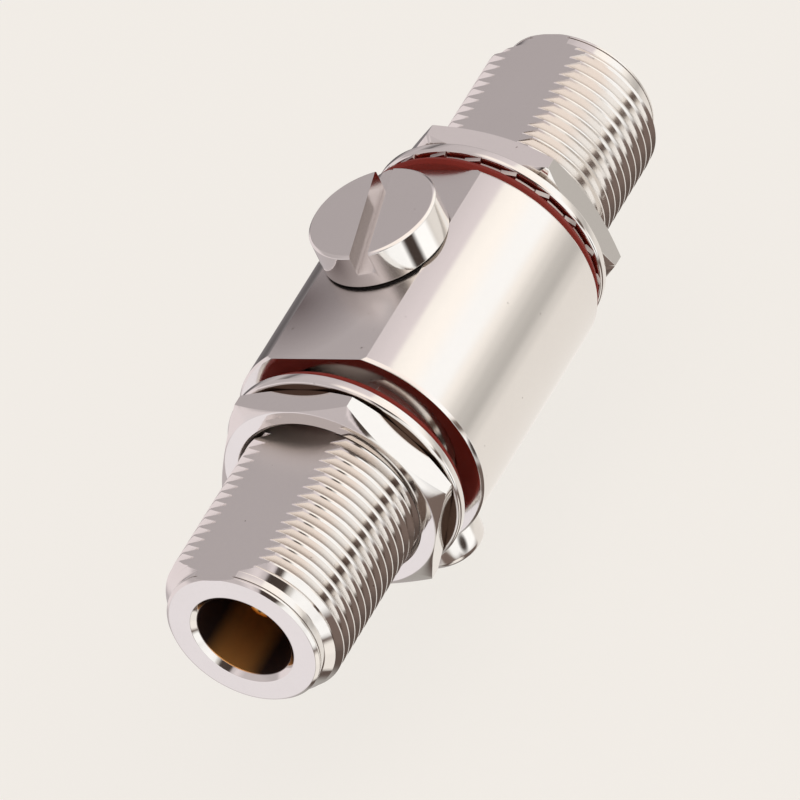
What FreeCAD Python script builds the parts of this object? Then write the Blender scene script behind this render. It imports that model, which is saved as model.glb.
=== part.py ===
import FreeCAD, Part
import os
import re
import Sketcher

# Coaxial lightning arrestor with a screw thread jack at each end and a gas tube under a cap.
# The line's axis is X. The front jack's reference plane is x = 0 and the cap stands up, along +Z.

# Driving sizes, in millimetres and degrees
SIZES = {
    # coaxial line
    "line_bore_radius": 3.5,
    "conductor_radius": 1.52,
    "contact_reach": 5.0,
    "contact_bore_radius": 0.84,
    "contact_bore_depth": 5.4,
    "contact_tip_bevel": 0.2,
    "contact_slot_width": 0.3,
    "contact_slot_length": 4.2,
    "contact_shoulder_radius": 2.0,
    "contact_shoulder_length": 1.0,
    "stud_radius": 0.8,
    "stud_length": 2.4,
    "stud_clearance": 0.02,
    "stud_end_gap": 0.3,
    "insulator_length": 6.0,
    "insulator_clearance": 0.02,
    "insulator_bevel": 0.25,
    "lip_radius": 3.2,
    "lip_thickness": 0.3,
    # threaded jacks
    "jack_reach": 9.1,
    "mouth_radius": 4.2,
    "mouth_bevel": 0.555,
    "ring_step": 1.3375,
    "ring_bevel": 0.26,
    "ring_bevel_length": 0.3,
    "relief_length": 1.2,
    "thread_radius": 7.9375,
    "thread_flat_depth": 1.3775,
    "thread_end_gap": 0.5,
    "thread_end_step": 0.2,
    "rear_sleeve_length": 20.92,
    # main body and the spigot of the front shell
    "body_front": 13.9,
    "body_length": 23.28,
    "body_radius": 11.06,
    "body_bevel": 0.18,
    "body_bevel_length": 0.29,
    "body_flat_height": 9.95,
    "spigot_step": 1.3375,
    "spigot_length": 6.0,
    "spigot_clearance": 0.02,
    "spigot_end_gap": 0.1,
    # panel nuts, washers and gaskets
    "nut_wall": 1.6125,
    "nut_thickness": 2.7,
    "nut_face_rim": 1.5625,
    "nut_bevel_length": 0.8,
    "nut_countersink": 0.3,
    "thread_clearance": 0.045,
    "front_nut_turn": 0.0,
    "rear_nut_turn": 19.6,
    "washer_rim": 2.6125,
    "washer_thickness": 0.95,
    "washer_bevel": 0.12,
    "washer_clearance": 0.2,
    "front_gasket_rim": 2.0125,
    "front_gasket_gap": 1.55,
    "rear_gasket_rim": 2.6625,
    "gasket_thickness": 0.8,
    "gasket_clearance": 0.03,
    "tooth_washer_space": 0.95,
    "tooth_washer_plate": 0.5,
    "tooth_root_rim": 1.4125,
    "tooth_tip_rim": 2.5625,
    "tooth_tip_taper": 0.75,
    "tooth_width": 1.7,
    "tooth_thickness": 0.42,
    "tooth_twist": 16.0,
    "tooth_count": 20,
    # cap over the gas tube
    "cap_place": 27.98,
    "cap_head_radius": 5.61,
    "cap_head_height": 3.29,
    "cap_head_bevel": 0.22,
    "cap_boss_radius": 4.0,
    "cap_boss_length": 4.3,
    "cap_thread_clearance": 0.03,
    "cap_end_gap": 0.1,
    "cap_pocket_radius": 3.0,
    "cap_pocket_depth": 3.0,
    "cap_slot_width": 1.5,
    "cap_slot_depth": 1.95,
    "cap_slot_turn": 14.4,
    "seal_thickness": 0.25,
    "seal_radius": 5.3,
    # gas discharge tube and its spring
    "tube_seat_height": 1.2,
    "tube_seat_margin": 0.25,
    "tube_radius": 2.75,
    "tube_height": 6.0,
    "tube_chamber_clearance": 0.2,
    "electrode_thickness": 0.7,
    "electrode_boss_radius": 1.1,
    "electrode_gap": 0.8,
    "ceramic_inset": 0.08,
    "ceramic_wall": 0.7,
    "spring_metal": 0.25,
    "spring_hole_radius": 0.6,
    "spring_crown_radius": 1.3,
    "spring_foot_radius": 2.6,
    "spring_slot_width": 0.6,
    "spring_slot_start": 1.1,
    "spring_slot_margin": 0.5,
    "spring_finger_count": 6,
    # ground screw on the underside
    "ground_place": 18.55,
    "ground_spot_depth": 0.56,
    "ground_spot_radius": 3.6,
    "ground_screw_radius": 1.75,
    "ground_screw_clearance": 0.04,
    "ground_hole_depth": 2.9,
    "ground_shank_gap": 0.2,
    "ground_head_radius": 3.25,
    "ground_head_height": 2.9,
    "ground_head_bevel": 0.6,
    "ground_recess_width": 0.9,
    "ground_recess_length": 3.4,
    "ground_recess_depth": 1.4,
    "ground_washer_radius": 3.4,
    "ground_washer_thickness": 0.9,
    "ground_lock_radius": 3.1,
    "ground_lock_thickness": 0.8,
    "ground_lock_slit": 0.5,
    "ground_washer_clearance": 0.15,
    # how far a cutting block runs past the metal
    "cut_margin": 1.0,
}

# Places and sizes that follow from the driving ones
PLACES = {
    "mouth_front": "-jack_reach",
    "ring_radius": "thread_radius - ring_step",
    "relief_radius": "ring_radius + ring_bevel",
    "cone_length": "thread_radius - relief_radius",
    "thread_flat_height": "thread_radius - thread_flat_depth",
    "thread_end_radius": "thread_radius - thread_end_step",
    "spigot_radius": "thread_radius - spigot_step",
    "front_gasket_back": "body_front - front_gasket_gap",
    "body_rear": "body_front + body_length",
    "rear_end": "body_rear + rear_sleeve_length",
    "rear_reference": "rear_end - jack_reach",
    "spigot_end": "body_front + spigot_length",
    "insulator_end": "lip_thickness + insulator_length",
    "contact_end": "insulator_end + contact_shoulder_length",
    "front_washer_face": "front_gasket_back - gasket_thickness",
    "front_nut_face": "front_washer_face - washer_thickness",
    "rear_tooth_face": "body_rear + gasket_thickness",
    "rear_washer_face": "rear_tooth_face + tooth_washer_space",
    "rear_nut_face": "rear_washer_face + washer_thickness",
    "front_thread_end": "front_nut_face - nut_thickness - thread_end_gap",
    "rear_thread_end": "rear_nut_face + nut_thickness + thread_end_gap",
    "nut_across_flats": "2 * (thread_radius + nut_wall)",
    "nut_corner_radius": "nut_across_flats / sqrt(3)",
    "nut_face_radius": "thread_radius + nut_face_rim",
    "washer_radius": "thread_radius + washer_rim",
    "front_gasket_radius": "thread_radius + front_gasket_rim",
    "rear_gasket_radius": "thread_radius + rear_gasket_rim",
    "tooth_root_radius": "thread_radius + tooth_root_rim",
    "tooth_tip_radius": "thread_radius + tooth_tip_rim",
    "nut_bore_radius": "thread_radius + thread_clearance",
    "washer_bore_radius": "thread_radius + washer_clearance",
    "gasket_bore_radius": "thread_radius + gasket_clearance",
    "cap_head_low": "body_flat_height + seal_thickness",
    "cap_head_top": "cap_head_low + cap_head_height",
    "cap_boss_low": "cap_head_low - cap_boss_length",
    "cap_pocket_top": "cap_boss_low + cap_pocket_depth",
    "tube_top": "tube_seat_height + tube_height",
    "electrode_boss_height": "(tube_height - electrode_gap) / 2",
    "ground_spot_height": "body_radius - ground_spot_depth",
    "ground_washer_low": "ground_spot_height + ground_washer_thickness",
    "ground_head_high": "ground_washer_low + ground_lock_thickness",
    "ground_head_low": "ground_head_high + ground_head_height",
    "ground_shank_end": "ground_spot_height - ground_hole_depth + ground_shank_gap",
}

doc = FreeCAD.newDocument("coax_lightning_arrestor")
sizes = doc.addObject("Spreadsheet::Sheet", "sizes")
places = doc.addObject("Spreadsheet::Sheet", "places")


def bound(rule, sheet=None):
    """Turn each size's name in a rule into a reference to its cell."""
    def cell(word):
        name = word.group()
        if name in SIZES:
            return "sizes." + name
        if name in PLACES and sheet is not places:
            return "places." + name
        return name
    return re.sub(r"[a-z][a-z_]*[a-z]", cell, rule)


def worth(rule):
    """The number that a rule gives now."""
    return float(doc.places.evalExpression(bound(rule, places)))


def tie(thing, target, rule):
    """Bind one property of an object to a rule."""
    thing.setExpression(target, bound(rule))


def fill_sheets():
    for row, (name, value) in enumerate(SIZES.items(), start=1):
        sizes.set(f"A{row}", name)
        sizes.set(f"B{row}", str(value))
        sizes.setAlias(f"B{row}", name)
    for row, name in enumerate(PLACES, start=1):
        places.set(f"A{row}", name)
        places.setAlias(f"B{row}", name)
    for row, rule in enumerate(PLACES.values(), start=1):
        places.set(f"B{row}", "=" + bound(rule, places))
    doc.recompute()


def origin_feature(body, role):
    return next(item for item in body.Origin.OriginFeatures if item.Role == role)


def outline(body, name, plane, points):
    """A closed sketch of straight lines whose corners are tied to the sheet."""
    sketch = body.newObject("Sketcher::SketchObject", name)
    sketch.AttachmentSupport = (origin_feature(body, plane), [""])
    sketch.MapMode = "FlatFace"
    corners = [FreeCAD.Vector(worth(across), worth(up), 0) for across, up in points]
    for start, end in zip(corners, corners[1:] + corners[:1]):
        sketch.addGeometry(Part.LineSegment(start, end), False)
    for line, (across, up) in enumerate(points):
        following = (line + 1) % len(points)
        sketch.addConstraint(Sketcher.Constraint("Coincident", line, 2, following, 1))
        for kind, rule, value in (("DistanceX", across, corners[line].x), ("DistanceY", up, corners[line].y)):
            index = sketch.addConstraint(Sketcher.Constraint(kind, -1, 1, line, 1, value))
            tie(sketch, f"Constraints[{index}]", rule)
    return sketch


def turned(name, axis, points):
    """A piece turned on a lathe: each point is its place along the axis and its radius."""
    body = doc.addObject("PartDesign::Body", name)
    body.Label = name
    if axis == "Z":
        points = [(radius, along) for along, radius in points]
    sketch = outline(body, name + "_profile", "XZ_Plane", points)
    turning = body.newObject("PartDesign::Revolution", name + "_turning")
    turning.Profile = sketch
    turning.ReferenceAxis = (sketch, ["H_Axis" if axis == "X" else "V_Axis"])
    turning.Angle = 360
    doc.recompute()
    return body


def cut_block(body, name, low, high):
    """Mill away the box between two corners."""
    block = body.newObject("PartDesign::SubtractiveBox", name)
    for side, start, end in zip(("Length", "Width", "Height"), low, high):
        tie(block, side, f"({end}) - ({start})")
    for letter, start in zip("xyz", low):
        tie(block, f".Placement.Base.{letter}", start)
    doc.recompute()
    return block


def drill(body, name, place, low, high, radius):
    """Drill a vertical hole at a place along the line, between two heights."""
    hole = body.newObject("PartDesign::SubtractiveCylinder", name)
    tie(hole, "Radius", radius)
    tie(hole, "Height", f"({high}) - ({low})")
    tie(hole, ".Placement.Base.x", place)
    tie(hole, ".Placement.Base.z", low)
    doc.recompute()
    return hole


def repeat_round(body, feature, axis, count, angle=360):
    """Repeat a feature round an axis of the piece."""
    pattern = body.newObject("PartDesign::PolarPattern", feature.Name + "_pattern")
    pattern.Originals = [feature]
    pattern.Axis = (origin_feature(body, axis), [""])
    pattern.Angle = angle
    tie(pattern, "Occurrences", count)
    body.Tip = pattern
    doc.recompute()
    return pattern


def stand_at(piece, place, turn=None):
    """Move an upright piece along the line and, where a turn is given, turn it about its own axis."""
    if turn:
        piece.Placement = FreeCAD.Placement(FreeCAD.Vector(), FreeCAD.Rotation(FreeCAD.Vector(0, 0, 1), 1))
        tie(piece, ".Placement.Rotation.Angle", turn)
    tie(piece, ".Placement.Base.x", place)


def jack_outside(face, inward):
    """Mouth ring, relief and lead-in cone of a jack, from its face inward."""
    return [
        (face, "mouth_radius + mouth_bevel"),
        (face, "ring_radius"),
        (f"{face} {inward} ring_bevel_length", "relief_radius"),
        (f"{face} {inward} relief_length", "relief_radius"),
        (f"{face} {inward} relief_length {inward} cone_length", "thread_radius"),
    ]


def jack_inside(face, reference, inward):
    """Line bore, retaining lip and mouth of a jack, from inside outward."""
    return [
        (f"{reference} {inward} lip_thickness", "line_bore_radius"),
        (f"{reference} {inward} lip_thickness", "lip_radius"),
        (reference, "lip_radius"),
        (reference, "mouth_radius"),
        (f"{face} {inward} mouth_bevel", "mouth_radius"),
    ]


# Front shell: threaded jack with its flat side, and the spigot that is pressed into the body
def make_front_jack_shell():
    shell = turned("front_jack_shell", "X", jack_outside("mouth_front", "+") + [
        ("front_thread_end", "thread_radius"),
        ("front_thread_end", "thread_end_radius"),
        ("body_front", "thread_end_radius"),
        ("body_front", "spigot_radius"),
        ("spigot_end", "spigot_radius"),
        ("spigot_end", "line_bore_radius"),
    ] + jack_inside("mouth_front", "0", "+"))
    cut_block(shell, "front_thread_flat",
              ("mouth_front - cut_margin", "-thread_radius - cut_margin", "thread_flat_height"),
              ("body_front", "thread_radius + cut_margin", "thread_radius + cut_margin"))
    return shell


# Body: one turned bar with the rear jack on it, milled flat on top and drilled for the tube
def make_body():
    rear_outside = list(reversed(jack_outside("rear_end", "-")))
    rear_inside = list(reversed(jack_inside("rear_end", "rear_reference", "-")))
    body = turned("body", "X", [
        ("body_front", "spigot_radius + spigot_clearance"),
        ("body_front", "body_radius - body_bevel"),
        ("body_front + body_bevel_length", "body_radius"),
        ("body_rear - body_bevel_length", "body_radius"),
        ("body_rear", "body_radius - body_bevel"),
        ("body_rear", "thread_end_radius"),
        ("rear_thread_end", "thread_end_radius"),
        ("rear_thread_end", "thread_radius"),
    ] + rear_outside + rear_inside + [
        ("spigot_end + spigot_end_gap", "line_bore_radius"),
        ("spigot_end + spigot_end_gap", "spigot_radius + spigot_clearance"),
    ])
    cut_block(body, "body_flat",
              ("body_front - cut_margin", "-body_radius - cut_margin", "body_flat_height"),
              ("body_rear + cut_margin", "body_radius + cut_margin", "body_radius + cut_margin"))
    cut_block(body, "rear_thread_flat",
              ("body_rear", "-thread_radius - cut_margin", "thread_flat_height"),
              ("rear_end + cut_margin", "thread_radius + cut_margin", "thread_radius + cut_margin"))
    drill(body, "tube_chamber", "cap_place", "0", "body_flat_height",
          "tube_radius + tube_chamber_clearance")
    drill(body, "cap_thread_hole", "cap_place", "cap_boss_low - cap_end_gap", "body_flat_height + cut_margin",
          "cap_boss_radius + cap_thread_clearance")
    drill(body, "ground_spot_face", "ground_place", "-body_radius - cut_margin", "-ground_spot_height",
          "ground_spot_radius")
    drill(body, "ground_thread_hole", "ground_place", "-body_radius - cut_margin",
          "-ground_spot_height + ground_hole_depth", "ground_screw_radius + ground_screw_clearance")
    return body


# Panel nuts: turned blanks with both faces bevelled and six flats milled on them
def make_nut(name, low, turn):
    nut = turned(name, "X", [
        (low, "nut_bore_radius + nut_countersink"),
        (low, "nut_face_radius"),
        (f"{low} + nut_bevel_length", "nut_corner_radius"),
        (f"{low} + nut_thickness - nut_bevel_length", "nut_corner_radius"),
        (f"{low} + nut_thickness", "nut_face_radius"),
        (f"{low} + nut_thickness", "nut_bore_radius + nut_countersink"),
        (f"{low} + nut_thickness - nut_countersink", "nut_bore_radius"),
        (f"{low} + nut_countersink", "nut_bore_radius"),
    ])
    flat = cut_block(nut, name + "_side",
                     (f"{low} - cut_margin", "-nut_corner_radius", "nut_across_flats / 2"),
                     (f"{low} + nut_thickness + cut_margin", "nut_corner_radius", "nut_corner_radius + cut_margin"))
    repeat_round(nut, flat, "X_Axis", "6")
    nut.Placement = FreeCAD.Placement(FreeCAD.Vector(), FreeCAD.Rotation(FreeCAD.Vector(1, 0, 0), 1))
    tie(nut, ".Placement.Rotation.Angle", turn)
    return nut


# Flat washers: pressed rings with their outer edges broken
def make_washer(name, low, thickness, bore, radius, bevel):
    return turned(name, "X", [
        (low, bore),
        (low, f"{radius} - {bevel}"),
        (f"{low} + {bevel}", radius),
        (f"{low} + {thickness} - {bevel}", radius),
        (f"{low} + {thickness}", f"{radius} - {bevel}"),
        (f"{low} + {thickness}", bore),
    ])


# Gaskets: plain flat rubber rings
def make_gasket(name, low, radius):
    return turned(name, "X", [
        (low, "gasket_bore_radius"),
        (low, radius),
        (f"{low} + gasket_thickness", radius),
        (f"{low} + gasket_thickness", "gasket_bore_radius"),
    ])


# External tooth lock washer: a thin plate with a ring of twisted teeth
def make_tooth_washer():
    middle = "rear_tooth_face + tooth_washer_space / 2"
    washer = turned("rear_tooth_washer", "X", [
        (f"{middle} - tooth_washer_plate / 2", "washer_bore_radius"),
        (f"{middle} - tooth_washer_plate / 2", "tooth_root_radius"),
        (f"{middle} + tooth_washer_plate / 2", "tooth_root_radius"),
        (f"{middle} + tooth_washer_plate / 2", "washer_bore_radius"),
    ])
    half_width = "tooth_width / 2"
    half_thickness = "tooth_thickness / 2"
    sections = []
    for name, height, taper, twist in (
            ("tooth_root", "tooth_root_radius - tooth_thickness", "1", "0"),
            ("tooth_tip", "tooth_tip_radius", "tooth_tip_taper", "tooth_twist")):
        section = outline(washer, name, "XY_Plane", [
            (f"-{half_thickness}", f"-{half_width} * {taper}"),
            (half_thickness, f"-{half_width} * {taper}"),
            (half_thickness, f"{half_width} * {taper}"),
            (f"-{half_thickness}", f"{half_width} * {taper}"),
        ])
        section.AttachmentOffset = FreeCAD.Placement(
            FreeCAD.Vector(), FreeCAD.Rotation(FreeCAD.Vector(0, 0, 1), 1))
        tie(section, ".AttachmentOffset.Base.x", middle)
        tie(section, ".AttachmentOffset.Base.z", height)
        tie(section, ".AttachmentOffset.Rotation.Angle", twist)
        sections.append(section)
    doc.recompute()
    tooth = washer.newObject("PartDesign::AdditiveLoft", "tooth")
    tooth.Profile = sections[0]
    tooth.Sections = [sections[1]]
    tooth.Ruled = True
    doc.recompute()
    repeat_round(washer, tooth, "X_Axis", "tooth_count")
    return washer


# Contacts: gold plated sockets, sprung by four slots and held by a shoulder behind the insulator
def make_contact(name, reference, outward):
    inward = "+" if outward == "-" else "-"
    tip = f"{reference} {outward} contact_reach"
    end = f"{reference} {inward} contact_end"
    contact = turned(name, "X", [
        (f"{tip} {inward} contact_bore_depth", "0"),
        (f"{tip} {inward} contact_bore_depth", "contact_bore_radius"),
        (f"{tip} {inward} contact_tip_bevel", "contact_bore_radius"),
        (tip, "contact_bore_radius + contact_tip_bevel"),
        (tip, "conductor_radius - contact_tip_bevel"),
        (f"{tip} {inward} contact_tip_bevel", "conductor_radius"),
        (f"{reference} {inward} insulator_end", "conductor_radius"),
        (f"{reference} {inward} insulator_end", "contact_shoulder_radius"),
        (end, "contact_shoulder_radius"),
        (end, "stud_radius + stud_clearance"),
        (f"{end} {outward} stud_length {outward} stud_end_gap", "stud_radius + stud_clearance"),
        (f"{end} {outward} stud_length {outward} stud_end_gap", "0"),
    ])
    slot_start, slot_end = tip, f"{tip} {inward} contact_slot_length"
    if outward == "+":
        slot_start, slot_end = slot_end, slot_start
    slot = cut_block(contact, name + "_slot",
                     (slot_start, "-contact_slot_width / 2", "-conductor_radius - cut_margin"),
                     (slot_end, "contact_slot_width / 2", "conductor_radius + cut_margin"))
    repeat_round(contact, slot, "X_Axis", "2", 180)
    return contact


# Insulators: turned beads that carry the contacts in the line bore
def make_insulator(name, low):
    bore = "conductor_radius + insulator_clearance"
    radius = "line_bore_radius - insulator_clearance"
    return turned(name, "X", [
        (low, bore),
        (low, f"{radius} - insulator_bevel"),
        (f"{low} + insulator_bevel", radius),
        (f"{low} + insulator_length - insulator_bevel", radius),
        (f"{low} + insulator_length", f"{radius} - insulator_bevel"),
        (f"{low} + insulator_length", bore),
    ])


# Centre conductor: a turned rod with a stud at each end and a milled seat for the tube
def make_centre_conductor():
    front = "contact_end"
    rear = "rear_reference - contact_end"
    rod = turned("centre_conductor", "X", [
        (f"{front} - stud_length", "0"),
        (f"{front} - stud_length", "stud_radius"),
        (front, "stud_radius"),
        (front, "conductor_radius"),
        (rear, "conductor_radius"),
        (rear, "stud_radius"),
        (f"{rear} + stud_length", "stud_radius"),
        (f"{rear} + stud_length", "0"),
    ])
    cut_block(rod, "tube_seat",
              ("cap_place - tube_radius - tube_seat_margin", "-conductor_radius - cut_margin", "tube_seat_height"),
              ("cap_place + tube_radius + tube_seat_margin", "conductor_radius + cut_margin",
               "conductor_radius + cut_margin"))
    return rod


# Gas tube: a ceramic ring between two electrodes whose bosses face each other across the gap
def make_electrode(name, base, inward):
    disc = turned(name, "Z", [
        (base, "0"),
        (base, "tube_radius"),
        (f"{base} {inward} electrode_thickness", "tube_radius"),
        (f"{base} {inward} electrode_thickness", "electrode_boss_radius"),
        (f"{base} {inward} electrode_boss_height", "electrode_boss_radius"),
        (f"{base} {inward} electrode_boss_height", "0"),
    ])
    stand_at(disc, "cap_place")
    return disc


def make_ceramic():
    low = "tube_seat_height + electrode_thickness"
    high = "tube_top - electrode_thickness"
    outer = "tube_radius - ceramic_inset"
    ring = turned("gas_tube_ceramic", "Z", [
        (low, f"{outer} - ceramic_wall"),
        (low, outer),
        (high, outer),
        (high, f"{outer} - ceramic_wall"),
    ])
    stand_at(ring, "cap_place")
    return ring


# Contact spring: a pressed cone of six fingers between the tube and the roof of the cap's pocket
def make_contact_spring():
    spring = turned("contact_spring", "Z", [
        ("cap_pocket_top", "spring_hole_radius"),
        ("cap_pocket_top", "spring_crown_radius"),
        ("tube_top + spring_metal", "spring_foot_radius"),
        ("tube_top", "spring_foot_radius"),
        ("tube_top", "spring_foot_radius - spring_metal"),
        ("cap_pocket_top - spring_metal", "spring_crown_radius - spring_metal / 2"),
        ("cap_pocket_top - spring_metal", "spring_hole_radius"),
    ])
    slot = cut_block(spring, "finger_slot",
                     ("spring_slot_start", "-spring_slot_width / 2", "tube_top - cut_margin"),
                     ("spring_foot_radius + cut_margin", "spring_slot_width / 2",
                      "cap_pocket_top - spring_slot_margin"))
    repeat_round(spring, slot, "Z_Axis", "spring_finger_count")
    stand_at(spring, "cap_place")
    return spring


# Cap: knob with a coin slot, threaded boss and a pocket for the spring and the tube's top
def make_cap():
    cap = turned("tube_cap", "Z", [
        ("cap_pocket_top", "0"),
        ("cap_pocket_top", "cap_pocket_radius"),
        ("cap_boss_low", "cap_pocket_radius"),
        ("cap_boss_low", "cap_boss_radius"),
        ("cap_head_low", "cap_boss_radius"),
        ("cap_head_low", "cap_head_radius"),
        ("cap_head_top - cap_head_bevel", "cap_head_radius"),
        ("cap_head_top", "cap_head_radius - cap_head_bevel"),
        ("cap_head_top", "0"),
    ])
    cut_block(cap, "cap_slot",
              ("-cap_head_radius - cut_margin", "-cap_slot_width / 2", "cap_head_top - cap_slot_depth"),
              ("cap_head_radius + cut_margin", "cap_slot_width / 2", "cap_head_top + cut_margin"))
    stand_at(cap, "cap_place", "cap_slot_turn")
    return cap


def make_cap_seal():
    bore = "cap_boss_radius + cap_thread_clearance"
    seal = turned("cap_seal", "Z", [
        ("body_flat_height", bore),
        ("body_flat_height", "seal_radius"),
        ("cap_head_low", "seal_radius"),
        ("cap_head_low", bore),
    ])
    stand_at(seal, "cap_place")
    return seal


# Ground screw: bevelled head with a cross recess, over a flat washer and a split washer
def make_ground_screw():
    screw = turned("ground_screw", "Z", [
        ("-ground_shank_end", "0"),
        ("-ground_shank_end", "ground_screw_radius"),
        ("-ground_head_high", "ground_screw_radius"),
        ("-ground_head_high", "ground_head_radius"),
        ("-ground_head_low + ground_head_bevel", "ground_head_radius"),
        ("-ground_head_low", "ground_head_radius - ground_head_bevel"),
        ("-ground_head_low", "0"),
    ])
    slot = cut_block(screw, "cross_recess",
                     ("-ground_recess_length / 2", "-ground_recess_width / 2", "-ground_head_low - cut_margin"),
                     ("ground_recess_length / 2", "ground_recess_width / 2",
                      "-ground_head_low + ground_recess_depth"))
    repeat_round(screw, slot, "Z_Axis", "2", 180)
    stand_at(screw, "ground_place")
    return screw


def make_ground_washers():
    bore = "ground_screw_radius + ground_washer_clearance"
    flat = turned("ground_flat_washer", "Z", [
        ("-ground_washer_low", bore),
        ("-ground_washer_low", "ground_washer_radius"),
        ("-ground_spot_height", "ground_washer_radius"),
        ("-ground_spot_height", bore),
    ])
    lock = turned("ground_lock_washer", "Z", [
        ("-ground_head_high", bore),
        ("-ground_head_high", "ground_lock_radius"),
        ("-ground_washer_low", "ground_lock_radius"),
        ("-ground_washer_low", bore),
    ])
    cut_block(lock, "split",
              ("0", "-ground_lock_slit / 2", "-ground_head_high - cut_margin"),
              ("ground_lock_radius + cut_margin", "ground_lock_slit / 2", "-ground_washer_low + cut_margin"))
    stand_at(flat, "ground_place")
    stand_at(lock, "ground_place")
    return [flat, lock]


fill_sheets()
pieces = [
    make_body(),
    make_front_jack_shell(),
    make_nut("front_nut", "front_nut_face - nut_thickness", "front_nut_turn"),
    make_nut("rear_nut", "rear_nut_face", "rear_nut_turn"),
    make_washer("front_flat_washer", "front_nut_face", "washer_thickness", "washer_bore_radius",
                "washer_radius", "washer_bevel"),
    make_washer("rear_flat_washer", "rear_washer_face", "washer_thickness", "washer_bore_radius",
                "washer_radius", "washer_bevel"),
    make_gasket("front_gasket", "front_washer_face", "front_gasket_radius"),
    make_gasket("rear_gasket", "body_rear", "rear_gasket_radius"),
    make_tooth_washer(),
    make_contact("front_contact", "0", "-"),
    make_contact("rear_contact", "rear_reference", "+"),
    make_insulator("front_insulator", "lip_thickness"),
    make_insulator("rear_insulator", "rear_reference - insulator_end"),
    make_centre_conductor(),
    make_electrode("gas_tube_bottom_electrode", "tube_seat_height", "+"),
    make_electrode("gas_tube_top_electrode", "tube_top", "-"),
    make_ceramic(),
    make_contact_spring(),
    make_cap(),
    make_cap_seal(),
    make_ground_screw(),
] + make_ground_washers()
doc.recompute()

for item in doc.Objects:
    if "Invalid" in item.State or "Error" in item.State:
        raise RuntimeError(f"{item.Label} is {item.State}")
for piece in pieces:
    if piece.Shape.isNull() or not piece.Shape.isValid() or not piece.Shape.Solids:
        raise RuntimeError(f"{piece.Label} has no valid solid")

os.makedirs("parts", exist_ok=True)
for piece in pieces:
    piece.Shape.exportStep(f"parts/{piece.Label}.step")
    print(f"{piece.Label}: {piece.Shape.Volume:.2f} cubic mm")
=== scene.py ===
# %% [markdown]
# A coaxial lightning arrestor is a short bar of nickel plated brass with a threaded jack at each end.
# Two hexagon nuts, washers and red gaskets fix it in a panel, and a slotted cap on top closes the
# chamber that holds its gas tube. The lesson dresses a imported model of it: the sizes and places
# come from that model, and the turned, threaded and milled forms are made again with a fine mesh,
# because bright plating shows every facet.

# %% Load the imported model
import math

import bmesh
import bpy
from mathutils import Matrix, Vector


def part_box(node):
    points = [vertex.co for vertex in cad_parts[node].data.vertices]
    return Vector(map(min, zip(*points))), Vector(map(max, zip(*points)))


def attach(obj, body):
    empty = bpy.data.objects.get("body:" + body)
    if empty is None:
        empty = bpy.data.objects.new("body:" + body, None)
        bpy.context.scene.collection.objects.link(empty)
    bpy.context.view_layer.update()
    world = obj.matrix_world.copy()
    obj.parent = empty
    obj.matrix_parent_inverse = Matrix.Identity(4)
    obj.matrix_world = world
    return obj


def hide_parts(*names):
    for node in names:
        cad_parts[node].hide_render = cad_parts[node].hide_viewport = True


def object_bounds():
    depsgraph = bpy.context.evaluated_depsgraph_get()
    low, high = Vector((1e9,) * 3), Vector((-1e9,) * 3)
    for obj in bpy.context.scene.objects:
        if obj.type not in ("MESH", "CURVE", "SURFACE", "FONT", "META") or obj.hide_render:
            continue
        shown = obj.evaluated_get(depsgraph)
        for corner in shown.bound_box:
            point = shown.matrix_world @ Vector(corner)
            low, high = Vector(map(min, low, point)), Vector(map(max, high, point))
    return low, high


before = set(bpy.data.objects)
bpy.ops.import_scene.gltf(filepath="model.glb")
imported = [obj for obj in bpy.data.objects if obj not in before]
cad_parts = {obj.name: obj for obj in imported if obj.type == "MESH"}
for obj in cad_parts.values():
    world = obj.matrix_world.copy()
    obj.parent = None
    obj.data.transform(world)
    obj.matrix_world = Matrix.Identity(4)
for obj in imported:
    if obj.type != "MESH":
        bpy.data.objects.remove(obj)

cad_low, cad_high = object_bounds()
MM = 0.001
print("model size in mm:", [round(side / MM, 2) for side in cad_high - cad_low])

# %% [markdown]
# Every size below is in millimetres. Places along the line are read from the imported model's boxes,
# so that the dressed pieces stay where the plain ones are. The thread is the standard one for this
# size of jack: 24 turns to the inch on a crest of 15.875 mm. The flats are given by their height
# above the line's axis, and round forms by their radius.

# %% Places and sizes
def reach(node, axis):
    """Lowest and highest place of a node along an axis, in mm."""
    low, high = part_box(node)
    return low[axis] / MM, high[axis] / MM


MOUTH_FRONT, SPIGOT_END = reach("front_jack_shell", 0)
BODY_FRONT, REAR_END = reach("body", 0)
BODY_REAR = reach("rear_gasket", 0)[0]
JACK_REACH = -MOUTH_FRONT
REAR_REFERENCE = REAR_END - JACK_REACH
CAP_PLACE = sum(reach("cap_seal", 0)) / 2
GROUND_PLACE = sum(reach("ground_screw", 0)) / 2
BODY_FLAT = reach("cap_seal", 2)[0]
THREAD_PITCH = 25.4 / 24
THREAD_RADIUS = 7.9375
THREAD_DEPTH = 0.65
THREAD_FLAT = 6.56
RING_RADIUS = 6.6
RELIEF_RADIUS = 6.86
LINE_BORE = 3.5
MOUTH_RADIUS = 4.2
MOUTH_BEVEL = 0.46
BODY_RADIUS = 11.06
SPIGOT_RADIUS = 6.6
CLOSE_FIT = 0.03
print("line from", round(MOUTH_FRONT, 2), "to", round(REAR_END, 2), "mm")

# %% [markdown]
# Turned pieces are made as on a lathe: half an outline is spun about its axis. The helper takes a closed
# outline of (place along the axis, radius) points. A third number rounds that corner, because a polished
# edge is never quite sharp and its thin highlight is what makes metal look real. Spinning gives even
# rings of faces, so reflections run smoothly round the metal.

# %% Lathe helper
LATHE_STEPS = 192


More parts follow.
